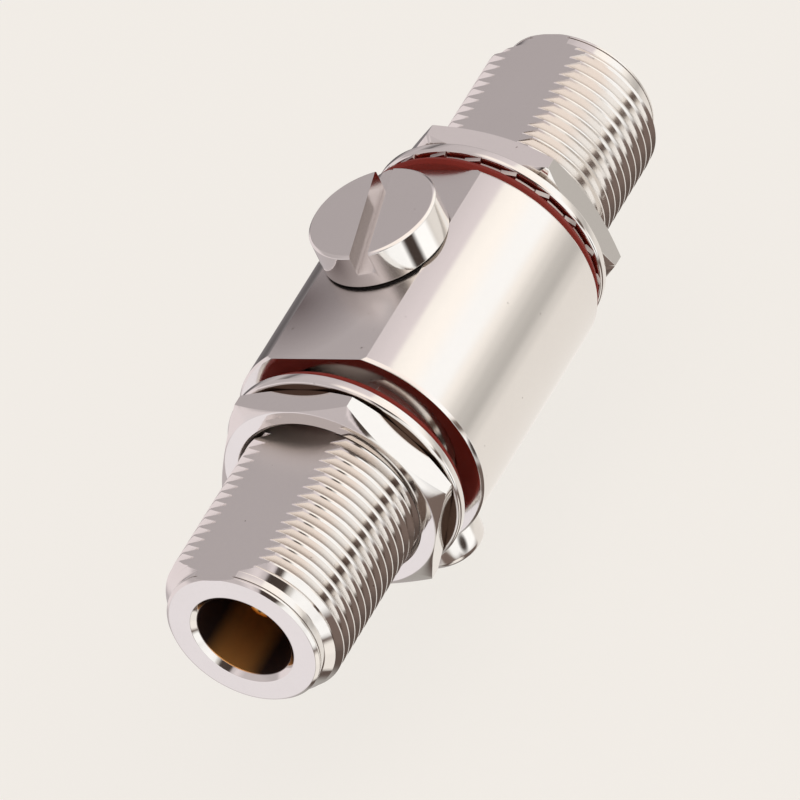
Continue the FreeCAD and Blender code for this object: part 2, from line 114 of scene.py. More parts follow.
def rounded(outline, arc_steps=4):
    """Replace each corner that has a third number by an arc of that radius."""
    points = []
    count = len(outline)
    for index, corner in enumerate(outline):
        if len(corner) < 3:
            points.append(Vector(corner))
            continue
        here = Vector(corner[:2])
        before = Vector(outline[index - 1][:2]) - here
        after = Vector(outline[(index + 1) % count][:2]) - here
        half = before.angle(after) / 2
        back = corner[2] / math.tan(half)
        middle = here + (before.normalized() + after.normalized()).normalized() * corner[2] / math.sin(half)
        first = here + before.normalized() * back - middle
        turn = after.normalized() * back + here - middle
        sweep = first.angle_signed(turn)
        for step in range(arc_steps + 1):
            points.append(middle + Matrix.Rotation(-sweep * step / arc_steps, 2) @ first)
    return points


def add_object(name, mesh):
    """Put a mesh in the scene as an object at the origin."""
    piece = bpy.data.objects.new(name, mesh)
    bpy.context.scene.collection.objects.link(piece)
    return piece


def lathe(name, outline, axis="X", place=(0, 0, 0), steps=LATHE_STEPS):
    """Spin a closed outline about the axis and return the closed mesh as an object."""
    shape = bmesh.new()
    rings = []
    for along, radius in rounded(outline):
        if radius < 1e-6:
            rings.append([shape.verts.new((along, 0, 0))] * steps)
            continue
        rings.append([shape.verts.new((along, radius * math.cos(2 * math.pi * step / steps),
                                       radius * math.sin(2 * math.pi * step / steps)))
                      for step in range(steps)])
    for ring, following in zip(rings, rings[1:] + rings[:1]):
        for step in range(steps):
            nearby = (step + 1) % steps
            corners = [ring[step], ring[nearby], following[nearby], following[step]]
            corners = list(dict.fromkeys(corners))
            if len(corners) > 2:
                shape.faces.new(corners)
    bmesh.ops.recalc_face_normals(shape, faces=shape.faces)
    turn = Matrix.Identity(4) if axis == "X" else Matrix.Rotation(-math.pi / 2, 4, "Y")
    shape.transform(Matrix.Translation(Vector(place) * MM) @ turn @ Matrix.Scale(MM, 4))
    mesh = bpy.data.meshes.new(name)
    shape.to_mesh(mesh)
    shape.free()
    return add_object(name, mesh)


print("faces round a turned piece:", LATHE_STEPS)

# %% [markdown]
# Milling and drilling are booleans. A cutter is a plain block or drill of exact size, and the piece
# is settled to a plain mesh straight after each cut, so that nothing stays live.

# %% Cutting helpers
def settle(piece):
    """Apply the piece's modifiers and keep the plain mesh."""
    view = bpy.context.evaluated_depsgraph_get()
    mesh = bpy.data.meshes.new_from_object(piece.evaluated_get(view))
    old = piece.data
    piece.modifiers.clear()
    piece.data = mesh
    mesh.name = piece.name
    bpy.data.meshes.remove(old)
    return piece


def block(low, high, turn=None):
    """A box between two corners in mm, turned by a matrix if one is given."""
    shape = bmesh.new()
    bmesh.ops.create_cube(shape, size=1)
    low, high = Vector(low), Vector(high)
    size = Matrix.Diagonal((high - low).to_4d())
    shape.transform(Matrix.Scale(MM, 4) @ (turn or Matrix.Identity(4))
                    @ Matrix.Translation((low + high) / 2) @ size)
    mesh = bpy.data.meshes.new("block")
    shape.to_mesh(mesh)
    shape.free()
    return add_object("block", mesh)


def carve(piece, cutter):
    """Take the cutter's shape out of the piece. The cutter is used up."""
    cut = piece.modifiers.new("cut", "BOOLEAN")
    cut.operation = "DIFFERENCE"
    cut.solver = "EXACT"
    cut.object = cutter
    settle(piece)
    bpy.data.objects.remove(cutter)
    return piece


def mill_flat(piece, start, end, height, half_width):
    """Mill a level flat at a height above the axis, between two places along the line."""
    return carve(piece, block((start, -half_width, height), (end, half_width, half_width)))


# %% [markdown]
# Bright metal shows every fault in its faces. Booleans leave a flat face split into slivers, so those
# are merged before the edges are rounded. The bevel is a few hundredths of a millimetre, just enough
# for the thin line of light that a real edge has, and weighted normals keep the broad faces flat in
# their reflections.

# %% Edges and shading
FLAT_WITHIN = math.radians(0.3)


def smooth(piece, angle=28.0, edge=0.0):
    """Shade smoothly below an angle in degrees, and first round the edges above it by edge, in mm."""
    if edge:
        merge = piece.modifiers.new("merge", "DECIMATE")
        merge.decimate_type = "DISSOLVE"
        merge.angle_limit = FLAT_WITHIN
        bevel = piece.modifiers.new("edge", "BEVEL")
        bevel.width = edge * MM
        bevel.segments = 2
        bevel.limit_method = "ANGLE"
        bevel.angle_limit = math.radians(angle)
        bevel.miter_outer = "MITER_ARC"
        settle(piece)
    mesh = piece.data
    mesh.polygons.foreach_set("use_smooth", [True] * len(mesh.polygons))
    mesh.set_sharp_from_angle(angle=math.radians(angle))
    weigh = piece.modifiers.new("weigh", "WEIGHTED_NORMAL")
    weigh.keep_sharp = True
    return settle(piece)


# %% [markdown]
# A script can build the same node trees that are drawn by hand in Blender. These helpers add a node,
# set its inputs and link it in one line, so that a tree reads like a recipe. A piece runs a geometry
# tree as a modifier, whose inputs are set by their identifiers, and is then settled to a plain mesh.

# %% Helpers for node trees
def new_tree(name, inputs):
    """A geometry tree with a geometry input and output, and the named number inputs."""
    tree = bpy.data.node_groups.new(name, "GeometryNodeTree")
    tree.interface.new_socket("Geometry", in_out="INPUT", socket_type="NodeSocketGeometry")
    tree.interface.new_socket("Geometry", in_out="OUTPUT", socket_type="NodeSocketGeometry")
    for label, kind in inputs.items():
        tree.interface.new_socket(label, in_out="INPUT", socket_type="NodeSocket" + kind)
    return tree, tree.nodes.new("NodeGroupInput"), tree.nodes.new("NodeGroupOutput")


def put(tree, kind, links=None, **settings):
    """Add a node: settings are its properties, and links give its inputs by name or number."""
    node = tree.nodes.new(kind)
    for key, value in settings.items():
        setattr(node, key, value)
    for socket, value in (links or {}).items():
        if isinstance(value, bpy.types.NodeSocket):
            tree.links.new(value, node.inputs[socket])
        else:
            node.inputs[socket].default_value = value
    return node


def maths(tree, operation, first, second=0.0):
    """One sum: each side is a socket or a number."""
    return put(tree, "ShaderNodeMath", {0: first, 1: second}, operation=operation).outputs[0]


def close_tree(tree, shape, group_in, group_out):
    """End a tree the way the export needs: real geometry with its material set."""
    real = put(tree, "GeometryNodeRealizeInstances", {0: shape})
    painted = put(tree, "GeometryNodeSetMaterial", {
        0: real.outputs[0], "Material": group_in.outputs["Material"]})
    tree.links.new(painted.outputs[0], group_out.inputs[0])
    return tree


def run_tree(piece, tree, inputs):
    """Run a tree on a piece with the given inputs and keep the plain mesh."""
    run = piece.modifiers.new(tree.name, "NODES")
    run.node_group = tree
    for item in tree.interface.items_tree:
        if item.in_out == "INPUT" and item.name in inputs:
            run[item.identifier] = inputs[item.name]
    return settle(piece)


# %% [markdown]
# A thread is a groove that follows a helix, so Geometry Nodes make it: a spiral curve, a trapezium
# swept along it and a boolean that takes the sweep out of the blank. The groove stands a little proud
# of the crest, so that the boolean never meets two equal faces. The same tree cuts the jacks, the cap
# and the ground screw, with only its inputs changed.

# %% Thread cutting tree
FLANK = math.radians(30)
OVERCUT = 0.06
GROOVE_SHARE = 0.86


def make_thread_tree():
    """A tree that cuts a helical groove about the Z axis, then turned and moved as its inputs say."""
    tree, given, result = new_tree("cut_thread", {
        "Pitch": "Float", "Crest Radius": "Float", "Depth": "Float", "Start": "Float", "Turns": "Float",
        "Root Width": "Float", "Steps": "Int", "Axis Turn": "Vector", "Place": "Vector",
        "Material": "Material"})
    give = given.outputs
    proud = maths(tree, "MULTIPLY", give["Depth"], OVERCUT)
    height = maths(tree, "ADD", give["Depth"], proud)
    flanks = maths(tree, "MULTIPLY", height, 2 * math.tan(FLANK))
    wide = maths(tree, "ADD", give["Root Width"], flanks)
    outside = maths(tree, "ADD", give["Crest Radius"], proud)
    middle = maths(tree, "SUBTRACT", outside, maths(tree, "MULTIPLY", height, 0.5))
    spiral = put(tree, "GeometryNodeCurveSpiral", {
        "Resolution": give["Steps"], "Rotations": give["Turns"], "Start Radius": middle,
        "End Radius": middle, "Height": maths(tree, "MULTIPLY", give["Pitch"], give["Turns"]),
        "Reverse": True})
    upright = put(tree, "GeometryNodeSetCurveNormal", {0: spiral.outputs[0]}, mode="Z_UP")
    groove = put(tree, "GeometryNodeCurvePrimitiveQuadrilateral", {
        "Bottom Width": wide, "Top Width": give["Root Width"], "Height": height, "Offset": 0.0},
        mode="TRAPEZOID")
    sideways = put(tree, "GeometryNodeTransform", {
        0: groove.outputs[0], "Rotation": (0, 0, math.radians(90))})
    sweep = put(tree, "GeometryNodeCurveToMesh", {
        "Curve": upright.outputs[0], "Profile Curve": sideways.outputs[0], "Fill Caps": True})
    lifted = put(tree, "GeometryNodeTransform", {
        0: sweep.outputs[0],
        "Translation": put(tree, "ShaderNodeCombineXYZ", {"Z": give["Start"]}).outputs[0]})
    laid = put(tree, "GeometryNodeTransform", {
        0: lifted.outputs[0], "Rotation": give["Axis Turn"], "Translation": give["Place"]})
    cut = put(tree, "GeometryNodeMeshBoolean", {0: give["Geometry"], 1: laid.outputs[0]},
              operation="DIFFERENCE", solver="EXACT")
    return close_tree(tree, cut.outputs[0], given, result)


thread_tree = make_thread_tree()


def cut_thread(piece, finish, radius, pitch, depth, start, end, place=(0, 0, 0), along="X", steps=96):
    """Cut a right hand thread into a turned piece between two places along its axis."""
    turn = {"X": (0, math.pi / 2, 0), "Z": (0, 0, 0)}[along]
    root = pitch * GROOVE_SHARE - 2 * depth * math.tan(FLANK)
    run_tree(piece, thread_tree, {
        "Pitch": pitch * MM, "Crest Radius": radius * MM, "Depth": depth * MM, "Start": start * MM,
        "Turns": (end - start) / pitch, "Root Width": root * MM, "Steps": steps,
        "Axis Turn": turn, "Place": [value * MM for value in place], "Material": finish})
    print(piece.name, "thread:", round((end - start) / pitch, 1), "turns")
    return piece


print(thread_tree.name, "nodes:", len(thread_tree.nodes))

# %% [markdown]
# A finish is a small tree of nodes in front of the Principled shader. These helpers keep the trees
# short: a mask is a number between 0 and 1 over the surface, and it mixes two colours or two numbers.

# %% Helpers for finishes
def new_material(name, colour, metallic, roughness):
    """A material with its tree and its shader, whose own sockets hold the three values."""
    finish = bpy.data.materials.new(name)
    finish.use_nodes = True
    shader = finish.node_tree.nodes["Principled BSDF"]
    shader.inputs["Base Color"].default_value = (*colour, 1)
    shader.inputs["Metallic"].default_value = metallic
    shader.inputs["Roughness"].default_value = roughness
    finish.diffuse_color = (*colour, 1)
    return finish, finish.node_tree, shader


def toned(colour, share):
    """A colour times one factor, or times a factor for each of its three parts."""
    factors = share if isinstance(share, tuple) else (share,) * 3
    return tuple(value * factor for value, factor in zip(colour, factors))


def blend(tree, share, first, second):
    """Mix two colours by a mask: each is a socket or three numbers."""
    first, second = [(*side, 1) if isinstance(side, tuple) else side for side in (first, second)]
    return put(tree, "ShaderNodeMix", {0: share, 6: first, 7: second}, data_type="RGBA").outputs[2]


def fade(tree, share, first, second):
    """Mix two numbers by a mask."""
    return put(tree, "ShaderNodeMix", {0: share, 2: first, 3: second}).outputs[0]


def slope(tree, value, start, end, low=0.0, high=1.0, shape="LINEAR"):
    """Low up to the start, high from the end on, and a slope between: start may be above end."""
    return put(tree, "ShaderNodeMapRange", {
        "Value": value, "From Min": start, "From Max": end, "To Min": low, "To Max": high},
        interpolation_type=shape).outputs[0]


def noise(tree, place, scale, detail):
    """A cloud of values between 0 and 1."""
    return put(tree, "ShaderNodeTexNoise", {
        "Vector": place, "Scale": scale, "Detail": detail}).outputs["Fac"]


# %% [markdown]
# The finish is bright nickel over turned brass. Nickel is a warm grey mirror, so the shader is metallic
# with little roughness. Slow noise varies its roughness, as handling does, and fine rings are the marks
# that the lathe left under the plating. A few dark specks sit in it, and crevices get painted shade,
# which the Ambient Occlusion node finds. Everything is drawn from Object coordinates, so that nothing
# slides when a piece moves.

# %% Colour of the plating
HANDLED_SCALE, GRAIN_SCALE, SPECK_SCALE = 260.0, 2600.0, 1400.0
GRAIN_TONE = 0.97
SPECK_COLOUR, SPECK_SHARE, SPECK_FROM = (0.22, 0.17, 0.14), 0.6, (0.79, 0.82)
CREVICE_PAINTED_SHADE, OPEN_FROM = (0.20, 0.15, 0.12), (0.15, 0.55)


def plated(tree, place, colour, painted_crevice, near):
    """The plating's colour: a faint grain, dark specks, and painted shade in crevices, toned by the given
    factors.
    """
    shade = blend(tree, noise(tree, place, GRAIN_SCALE, 2.0), toned(colour, GRAIN_TONE), colour)
    speck = slope(tree, noise(tree, place, SPECK_SCALE, 1.0), *SPECK_FROM, 0.0, SPECK_SHARE)
    shade = blend(tree, speck, shade, SPECK_COLOUR)
    # Painted shade: the Ambient Occlusion node darkens the colour where another face is near.
    openness = put(tree, "ShaderNodeAmbientOcclusion", {"Distance": near * MM}, samples=6).outputs["AO"]
    return blend(tree, slope(tree, openness, *OPEN_FROM), toned(colour, painted_crevice), shade)


# %% [markdown]
# Two kinds of place look different. Within a radius of the line a piece gets another colour and
# roughness. The front mouth's bore is painted shade, dark and dull, with an orange painted light on the
# side that faces the light from the mouth. The front washer's faces round the nut are painted shade, the
# rear washer's face towards the gasket is a painted red reflection of the gasket, and the nuts' bores
# are a little warmer and rougher. A milled flat is duller than a turned face, and the one in front of
# the cap is darkened round a point by painted shade. Their masks come from the distance to the line and
# from the height, so one material serves a whole piece.

# %% Bores and flats
BORE_EDGE, END_EDGE, FLAT_EDGE = 0.03, 0.02, (0.03, 0.01)
# Painted light: the direction that the lit side of the front mouth faces, and the slope of its mask.
PAINTED_LIGHT_SIDE, PAINTED_LIGHT_FROM = (0, 0.66, -0.75), (0.76, 1.0)
# Painted shade on the body's flat: its colour, its share, and its reach from the centre in mm.
PAINTED_SHADE_COLOUR, PAINTED_SHADE_SHARE, PAINTED_SHADE_REACH = (0.16, 0.12, 0.12), 0.80, (7.5, 0.5)


def dull_bore(tree, place, shade, spread, radius, colour, roughness, painted_shade_colour=None, end=None):
    """Change colour and roughness within a radius of the line, and before the end if one is given.

    Given a painted shade colour, the bore has that colour, and the first one, a painted light, only on
    the side that faces the light from the mouth.
    """
    parts = put(tree, "ShaderNodeSeparateXYZ", {0: place}).outputs
    across = put(tree, "ShaderNodeCombineXYZ", {"Y": parts["Y"], "Z": parts["Z"]}).outputs[0]
    length = put(tree, "ShaderNodeVectorMath", {0: across}, operation="LENGTH").outputs["Value"]
    inside = slope(tree, length, (radius + BORE_EDGE) * MM, (radius - BORE_EDGE) * MM)
    if end:
        before = slope(tree, parts["X"], end * MM, (end - END_EDGE) * MM)
        inside = maths(tree, "MULTIPLY", inside, before)
    if painted_shade_colour:
        outward = put(tree, "ShaderNodeVectorMath", {0: across}, operation="NORMALIZE").outputs[0]
        facing = put(tree, "ShaderNodeVectorMath", {0: outward, 1: PAINTED_LIGHT_SIDE}, operation="DOT_PRODUCT")
        # Painted light: a mask of the side that faces the light from the mouth.
        warm = slope(tree, facing.outputs["Value"], *PAINTED_LIGHT_FROM, shape="SMOOTHSTEP")
        colour = blend(tree, warm, painted_shade_colour, colour)
    return blend(tree, inside, shade, colour), fade(tree, inside, spread, roughness)


def dull_flat(tree, place, shade, spread, height, roughness, shade_centre=None):
    """Change the roughness of a flat at a height, and darken it round a point with painted shade if one is
    given.
    """
    level = put(tree, "ShaderNodeSeparateXYZ", {0: place}).outputs["Z"]
    milled = slope(tree, level, (height - FLAT_EDGE[0]) * MM, (height - FLAT_EDGE[1]) * MM)
    spread = fade(tree, milled, spread, roughness)
    if shade_centre:
        # Painted shade: the flat is darker towards the given centre.
        gap = put(tree, "ShaderNodeVectorMath", {0: place, 1: [value * MM for value in shade_centre]},
                  operation="DISTANCE").outputs["Value"]
        painted_flat_shade = slope(tree, gap, PAINTED_SHADE_REACH[0] * MM, PAINTED_SHADE_REACH[1] * MM, 0.0, PAINTED_SHADE_SHARE)
        shade = blend(tree, maths(tree, "MULTIPLY", painted_flat_shade, milled), shade, PAINTED_SHADE_COLOUR)
    return shade, spread


# %% [markdown]
# The nickel puts these together: the plating's colour, a roughness that wanders, the bore or the flat
# where a piece has one, and last the turning marks as a shallow bump. Bump is enough for the marks,
# because they are far shallower than the width of a face.

# %% Nickel finish
NICKEL_COLOUR = (0.86, 0.83, 0.80)
MARKS, MARK_DEPTH = 9.0, 0.0002
WAVE_SCALE = 0.05        # the texture turns through 20 radians in one unit of its scale


def nickel(name, roughness, marks=MARKS, mark_depth=MARK_DEPTH, centre=(0, 0, 0), direction="X",
           bore=None, flat=None, painted_crevice=CREVICE_PAINTED_SHADE, near=0.9, colour=NICKEL_COLOUR):
    """Bright nickel with turning marks along a direction from a centre in mm.

    The marks lie 2 pi / marks mm apart and are mark_depth mm deep. Painted shade darkens crevices, where
    another face is nearer than near mm. bore and flat hold what dull_bore and dull_flat take.
    """
    finish, tree, shader = new_material(name, colour, 1.0, roughness)
    place = put(tree, "ShaderNodeTexCoord").outputs["Object"]
    centred = put(tree, "ShaderNodeMapping", {
        "Vector": place, "Location": [-value * MM for value in centre]}).outputs[0]
    shade = plated(tree, centred, colour, painted_crevice, near)
    handled = noise(tree, centred, HANDLED_SCALE, 3.0)
    spread = slope(tree, handled, 0.3, 0.7, roughness * 0.75, roughness * 1.3)
    if bore:
        shade, spread = dull_bore(tree, place, shade, spread, *bore)
    if flat:
        shade, spread = dull_flat(tree, place, shade, spread, *flat)
    tree.links.new(shade, shader.inputs["Base Color"])
    tree.links.new(spread, shader.inputs["Roughness"])
    rings = put(tree, "ShaderNodeTexWave", {
        "Vector": centred, "Scale": marks / MM * WAVE_SCALE, "Distortion": 0.6, "Detail": 1.0,
        "Detail Scale": 1.0}, wave_type="BANDS", bands_direction=direction)
    bump = put(tree, "ShaderNodeBump", {
        "Height": rings.outputs["Fac"], "Distance": mark_depth * MM, "Strength": 0.5})
    tree.links.new(bump.outputs[0], shader.inputs["Normal"])
    return finish


# %% [markdown]
# Every plated piece gets a nickel of its own, because its bore, its flat and the painted shade in its
# crevices differ. The cap and the ground screw stand upright, so their turning marks run along Z. The
# lock washer is darker and rougher, and where the gasket and the washer squeeze it, its crevices get a
# painted red reflection of the rubber in place of painted shade.

# %% Nickel of each kind of piece
# The centre of the painted shade on the body's flat, in front of the cap.
PAINTED_SHADE_CENTRE = (20.5, 5.2, BODY_FLAT)

satin_nickel = nickel("satin_nickel", 0.11, mark_depth=0.0005, near=0.5,
                      flat=(BODY_FLAT, 0.27, PAINTED_SHADE_CENTRE))
# The front mouth's bore is painted shade, nearly black, with an orange painted light on its lit side.
jack_nickel = nickel("jack_nickel", 0.07, flat=(THREAD_FLAT, 0.30),
                     bore=(MOUTH_RADIUS + 0.05, (1.0, 0.50, 0.15), 0.55, (0.09, 0.06, 0.055)))
# Painted shade in the nuts' crevices is lighter than on the other pieces, and their bores are a little
# warmer and rougher.
nut_nickel = nickel("nut_nickel", 0.07, bore=(THREAD_RADIUS + 0.25, (0.85, 0.78, 0.73), 0.5),
                    painted_crevice=(0.45, 0.37, 0.31))
# Painted shade: the front washer's faces within 10.2 mm of the line are dark, round the nut.
washer_nickel = nickel("washer_nickel", 0.07, bore=(10.2, (0.11, 0.065, 0.045), 0.35))
# Painted reflection: the rear washer's face towards the gasket is painted red, as the gasket's reflection.
painted_red_reflection_nickel = nickel("painted_red_reflection_nickel", 0.07,
                        bore=(10.3, (0.55, 0.07, 0.04), 0.5, None, BODY_REAR + 1.9))
cap_nickel = nickel("cap_nickel", 0.09, 6.0, centre=(CAP_PLACE, 0, 0), direction="Z", near=1.7)
screw_nickel = nickel("screw_nickel", 0.12, 6.0, centre=(GROUND_PLACE, 0, 0), direction="Z")
# Painted reflection: the crevice tone turns the lock washer red where the gasket and the washer are near.
tooth_steel = nickel("tooth_steel", 0.32, painted_crevice=(1.10, 0.14, 0.08), colour=(0.50, 0.44, 0.42))
print("nickel finishes:", len(bpy.data.materials))

# %% [markdown]
# The gaskets are dark red silicone rubber, the contacts gold plate and the beads an amber resin. The
# sealed pieces are bare brass, dull nickel, white ceramic and spring wire. None is quite even, so one
# cloud of noise moves the colour and the roughness a little, and gives the rubber a faint grain.

# %% Rubber, gold, resin, ceramic and wire
def mottled(name, colour, metallic, roughness, scale, change, bump_depth=0.0, gloss=0.5):
    """A plain finish whose colour wanders by a share; gloss is the shader's specular level."""
    finish, tree, shader = new_material(name, colour, metallic, roughness)
    shader.inputs["Specular IOR Level"].default_value = gloss
    cloud = noise(tree, put(tree, "ShaderNodeTexCoord").outputs["Object"], scale, 4.0)
    lighter = tuple(min(1, value) for value in toned(colour, 1 + change))
    shade = blend(tree, cloud, toned(colour, 1 - change), lighter)
    tree.links.new(shade, shader.inputs["Base Color"])
    spread = slope(tree, cloud, 0.0, 1.0, roughness * 0.85, roughness * 1.15)
    tree.links.new(spread, shader.inputs["Roughness"])
    if bump_depth:
        bump = put(tree, "ShaderNodeBump", {
            "Height": cloud, "Distance": bump_depth * MM, "Strength": 0.6})
        tree.links.new(bump.outputs[0], shader.inputs["Normal"])
    return finish


red_rubber = mottled("red_rubber", (0.21, 0.018, 0.010), 0.0, 0.52, 900, 0.12, 0.01, 0.2)
seal_rubber = mottled("seal_rubber", (0.02, 0.018, 0.018), 0.0, 0.5, 900, 0.2)
gold_plate = mottled("gold_plate", (0.50, 0.27, 0.07), 1.0, 0.2, 700, 0.08)
amber_resin = mottled("amber_resin", (0.060, 0.026, 0.008), 0.0, 0.35, 500, 0.2)
plain_brass = mottled("plain_brass", (0.62, 0.42, 0.15), 1.0, 0.25, 600, 0.08)
dull_nickel = mottled("dull_nickel", (0.55, 0.53, 0.49), 1.0, 0.35, 600, 0.06)
fired_ceramic = mottled("fired_ceramic", (0.84, 0.82, 0.78), 0.0, 0.3, 800, 0.03)
spring_wire = mottled("spring_wire", (0.60, 0.57, 0.50), 1.0, 0.22, 800, 0.05)
print("finishes in all:", len(bpy.data.materials))

# %% [markdown]
# Each finished piece is handed over in the same way: it gets its finish and the body that it moves with,
# and the imported solid that it stands for is hidden.

# %% Hand a piece over
def dress(piece, finish, body, node):
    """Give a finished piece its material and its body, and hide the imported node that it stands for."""
    piece.data.materials.clear()
    piece.data.materials.append(finish)
    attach(piece, body)
    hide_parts(node)
    print(piece.name, "faces:", len(piece.data.polygons))
    return piece


# %% [markdown]
# Both jacks have the same nose and the same mouth, one facing forward and one back. Outside is a plain
# ring, then a narrow groove, and a cone that leads on to the thread. Inside are the mouth, a thin lip
# that holds the insulator, and the line's bore. Two helpers draw them for both jacks, so that they can't
# differ.

# %% Nose and mouth of a jack
NOSE = {"ring edge": 0.26, "groove": (0.42, 0.44, 0.52, 0.54), "cone": 1.2}
GROOVE_DEPTH = 0.1
LIP = 0.3


def jack_nose(face, inward):
    """Outline of the ring, the groove and the cone from a jack's face inward, which is +1 or -1."""
    cone = THREAD_RADIUS - RELIEF_RADIUS
    groove = [face + inward * place for place in NOSE["groove"]]
    return [
        (face, MOUTH_RADIUS + MOUTH_BEVEL, 0.06),
        (face, MOUTH_RADIUS + MOUTH_BEVEL + 0.1),
        (face, RING_RADIUS - 0.12),
        (face, RING_RADIUS, 0.07),
        (face + inward * NOSE["ring edge"], RELIEF_RADIUS, 0.05),
        (groove[0], RELIEF_RADIUS, 0.02),
        (groove[1], RELIEF_RADIUS - GROOVE_DEPTH),
        (groove[2], RELIEF_RADIUS - GROOVE_DEPTH),
        (groove[3], RELIEF_RADIUS, 0.02),
        (face + inward * NOSE["cone"], RELIEF_RADIUS, 0.08),
        (face + inward * (NOSE["cone"] + cone), THREAD_RADIUS, 0.05),
    ]


def jack_mouth(face, reference, inward):
    """Outline of the line bore, the lip and the mouth, from inside outward."""
    return [
        (reference + inward * LIP, LINE_BORE),
        (reference + inward * LIP, LINE_BORE - LIP),
        (reference, LINE_BORE - LIP),
        (reference, MOUTH_RADIUS),
        (face + inward * MOUTH_BEVEL, MOUTH_RADIUS, 0.08),
    ]


print("corners of a jack's nose:", len(jack_nose(0, 1)), "and of its mouth:", len(jack_mouth(0, 0, 1)))

# %% [markdown]
# The front jack and the spigot behind it are one turned piece. The thread is cut first and the flat side
# is milled across it afterwards, as in the workshop, so the flat shows the ends of the turns. Only bends
# of less than 16 degrees are shaded smoothly, so that the thread and the flat stay crisp.

# %% Front jack
FRONT_THREAD = (MOUTH_FRONT + NOSE["cone"], BODY_FRONT - 0.8)
JACK_CUTTER = 9
CURVE_ANGLE = 16

front_jack = lathe("front_jack", jack_nose(MOUTH_FRONT, 1) + [
    (BODY_FRONT, THREAD_RADIUS),
    (BODY_FRONT, SPIGOT_RADIUS),
    (SPIGOT_END, SPIGOT_RADIUS, 0.2),
    (SPIGOT_END, LINE_BORE),
] + jack_mouth(MOUTH_FRONT, 0, 1))
cut_thread(front_jack, jack_nickel, THREAD_RADIUS, THREAD_PITCH, THREAD_DEPTH, *FRONT_THREAD)
mill_flat(front_jack, MOUTH_FRONT - 1, BODY_FRONT, THREAD_FLAT, JACK_CUTTER)
smooth(front_jack, angle=CURVE_ANGLE)
dress(front_jack, jack_nickel, "root", "front_jack_shell")

# %% [markdown]
# The body and the rear jack are one bar. The jack gets the same thread and flat side as the front one,
# and a broader flat is milled along the top of the body for the cap. The bar has more faces round it
# than the other pieces, because its broad curve shows every step in a reflection.

# %% Body with the rear jack
BODY_EDGE, BODY_EDGE_LENGTH = 0.18, 0.29
SPIGOT_PLAY, SPIGOT_GAP = 0.02, 0.1
REAR_THREAD = (BODY_REAR + 1.5, REAR_END - 0.9)
BODY_CUTTER = 12

rear_nose = list(reversed(jack_nose(REAR_END, -1)))
rear_mouth = list(reversed(jack_mouth(REAR_END, REAR_REFERENCE, -1)))
body = lathe("arrestor_body", [
    (BODY_FRONT, SPIGOT_RADIUS + SPIGOT_PLAY),
    (BODY_FRONT, BODY_RADIUS - BODY_EDGE, 0.05),
    (BODY_FRONT + BODY_EDGE_LENGTH, BODY_RADIUS, 0.08),
    (BODY_REAR - BODY_EDGE_LENGTH, BODY_RADIUS, 0.08),
    (BODY_REAR, BODY_RADIUS - BODY_EDGE, 0.05),
    (BODY_REAR, THREAD_RADIUS),
] + rear_nose + rear_mouth + [
    (SPIGOT_END + SPIGOT_GAP, LINE_BORE),
    (SPIGOT_END + SPIGOT_GAP, SPIGOT_RADIUS + SPIGOT_PLAY),
], steps=256)
cut_thread(body, satin_nickel, THREAD_RADIUS, THREAD_PITCH, THREAD_DEPTH, *REAR_THREAD)
mill_flat(body, BODY_REAR, REAR_END + 1, THREAD_FLAT, JACK_CUTTER)
mill_flat(body, BODY_FRONT - 1, BODY_REAR + 0.01, BODY_FLAT, BODY_CUTTER)


# %% [markdown]
# Two upright holes are drilled in the body, each in two sizes: one down to the line for the gas tube and
# the cap's boss, and one below with a spot face for the ground screw. A drill is a turned cylinder that
# a boolean takes out, so its wall is as even as the turned faces.

# %% Holes of the body
def drill(piece, place, low, high, radius, steps=96):
    """Drill an upright hole at a place along the line."""
    outline = [(low, 0), (low, radius), (high, radius), (high, 0)]
    return carve(piece, lathe("drill", outline, "Z", (place, 0, 0), steps))


CAP_BOSS = 4.0
CAP_BOSS_LOW = reach("tube_cap", 2)[0]
CHAMBER_FLOOR, CHAMBER_RADIUS = 0.5, 2.95
SPOT_FACE, SPOT_FACE_RADIUS = reach("ground_flat_washer", 2)[1], 3.6
TAPPED_END, TAPPED_RADIUS = -7.6, 1.79
ABOVE, BELOW = BODY_FLAT + 1, -12

drill(body, CAP_PLACE, CHAMBER_FLOOR, ABOVE, CHAMBER_RADIUS)
drill(body, CAP_PLACE, CAP_BOSS_LOW - 0.1, ABOVE, CAP_BOSS + CLOSE_FIT)
drill(body, GROUND_PLACE, BELOW, SPOT_FACE, SPOT_FACE_RADIUS)
drill(body, GROUND_PLACE, BELOW, TAPPED_END, TAPPED_RADIUS)
smooth(body, angle=CURVE_ANGLE)
dress(body, satin_nickel, "root", "body")

# %% [markdown]
# A panel nut starts as a turned blank with a cone on each face. Milling six flats across it leaves the
# curved edges that every hexagon nut has. The tree does it the same way: the turned blank comes in, and
# what it shares with a six sided bar comes out.

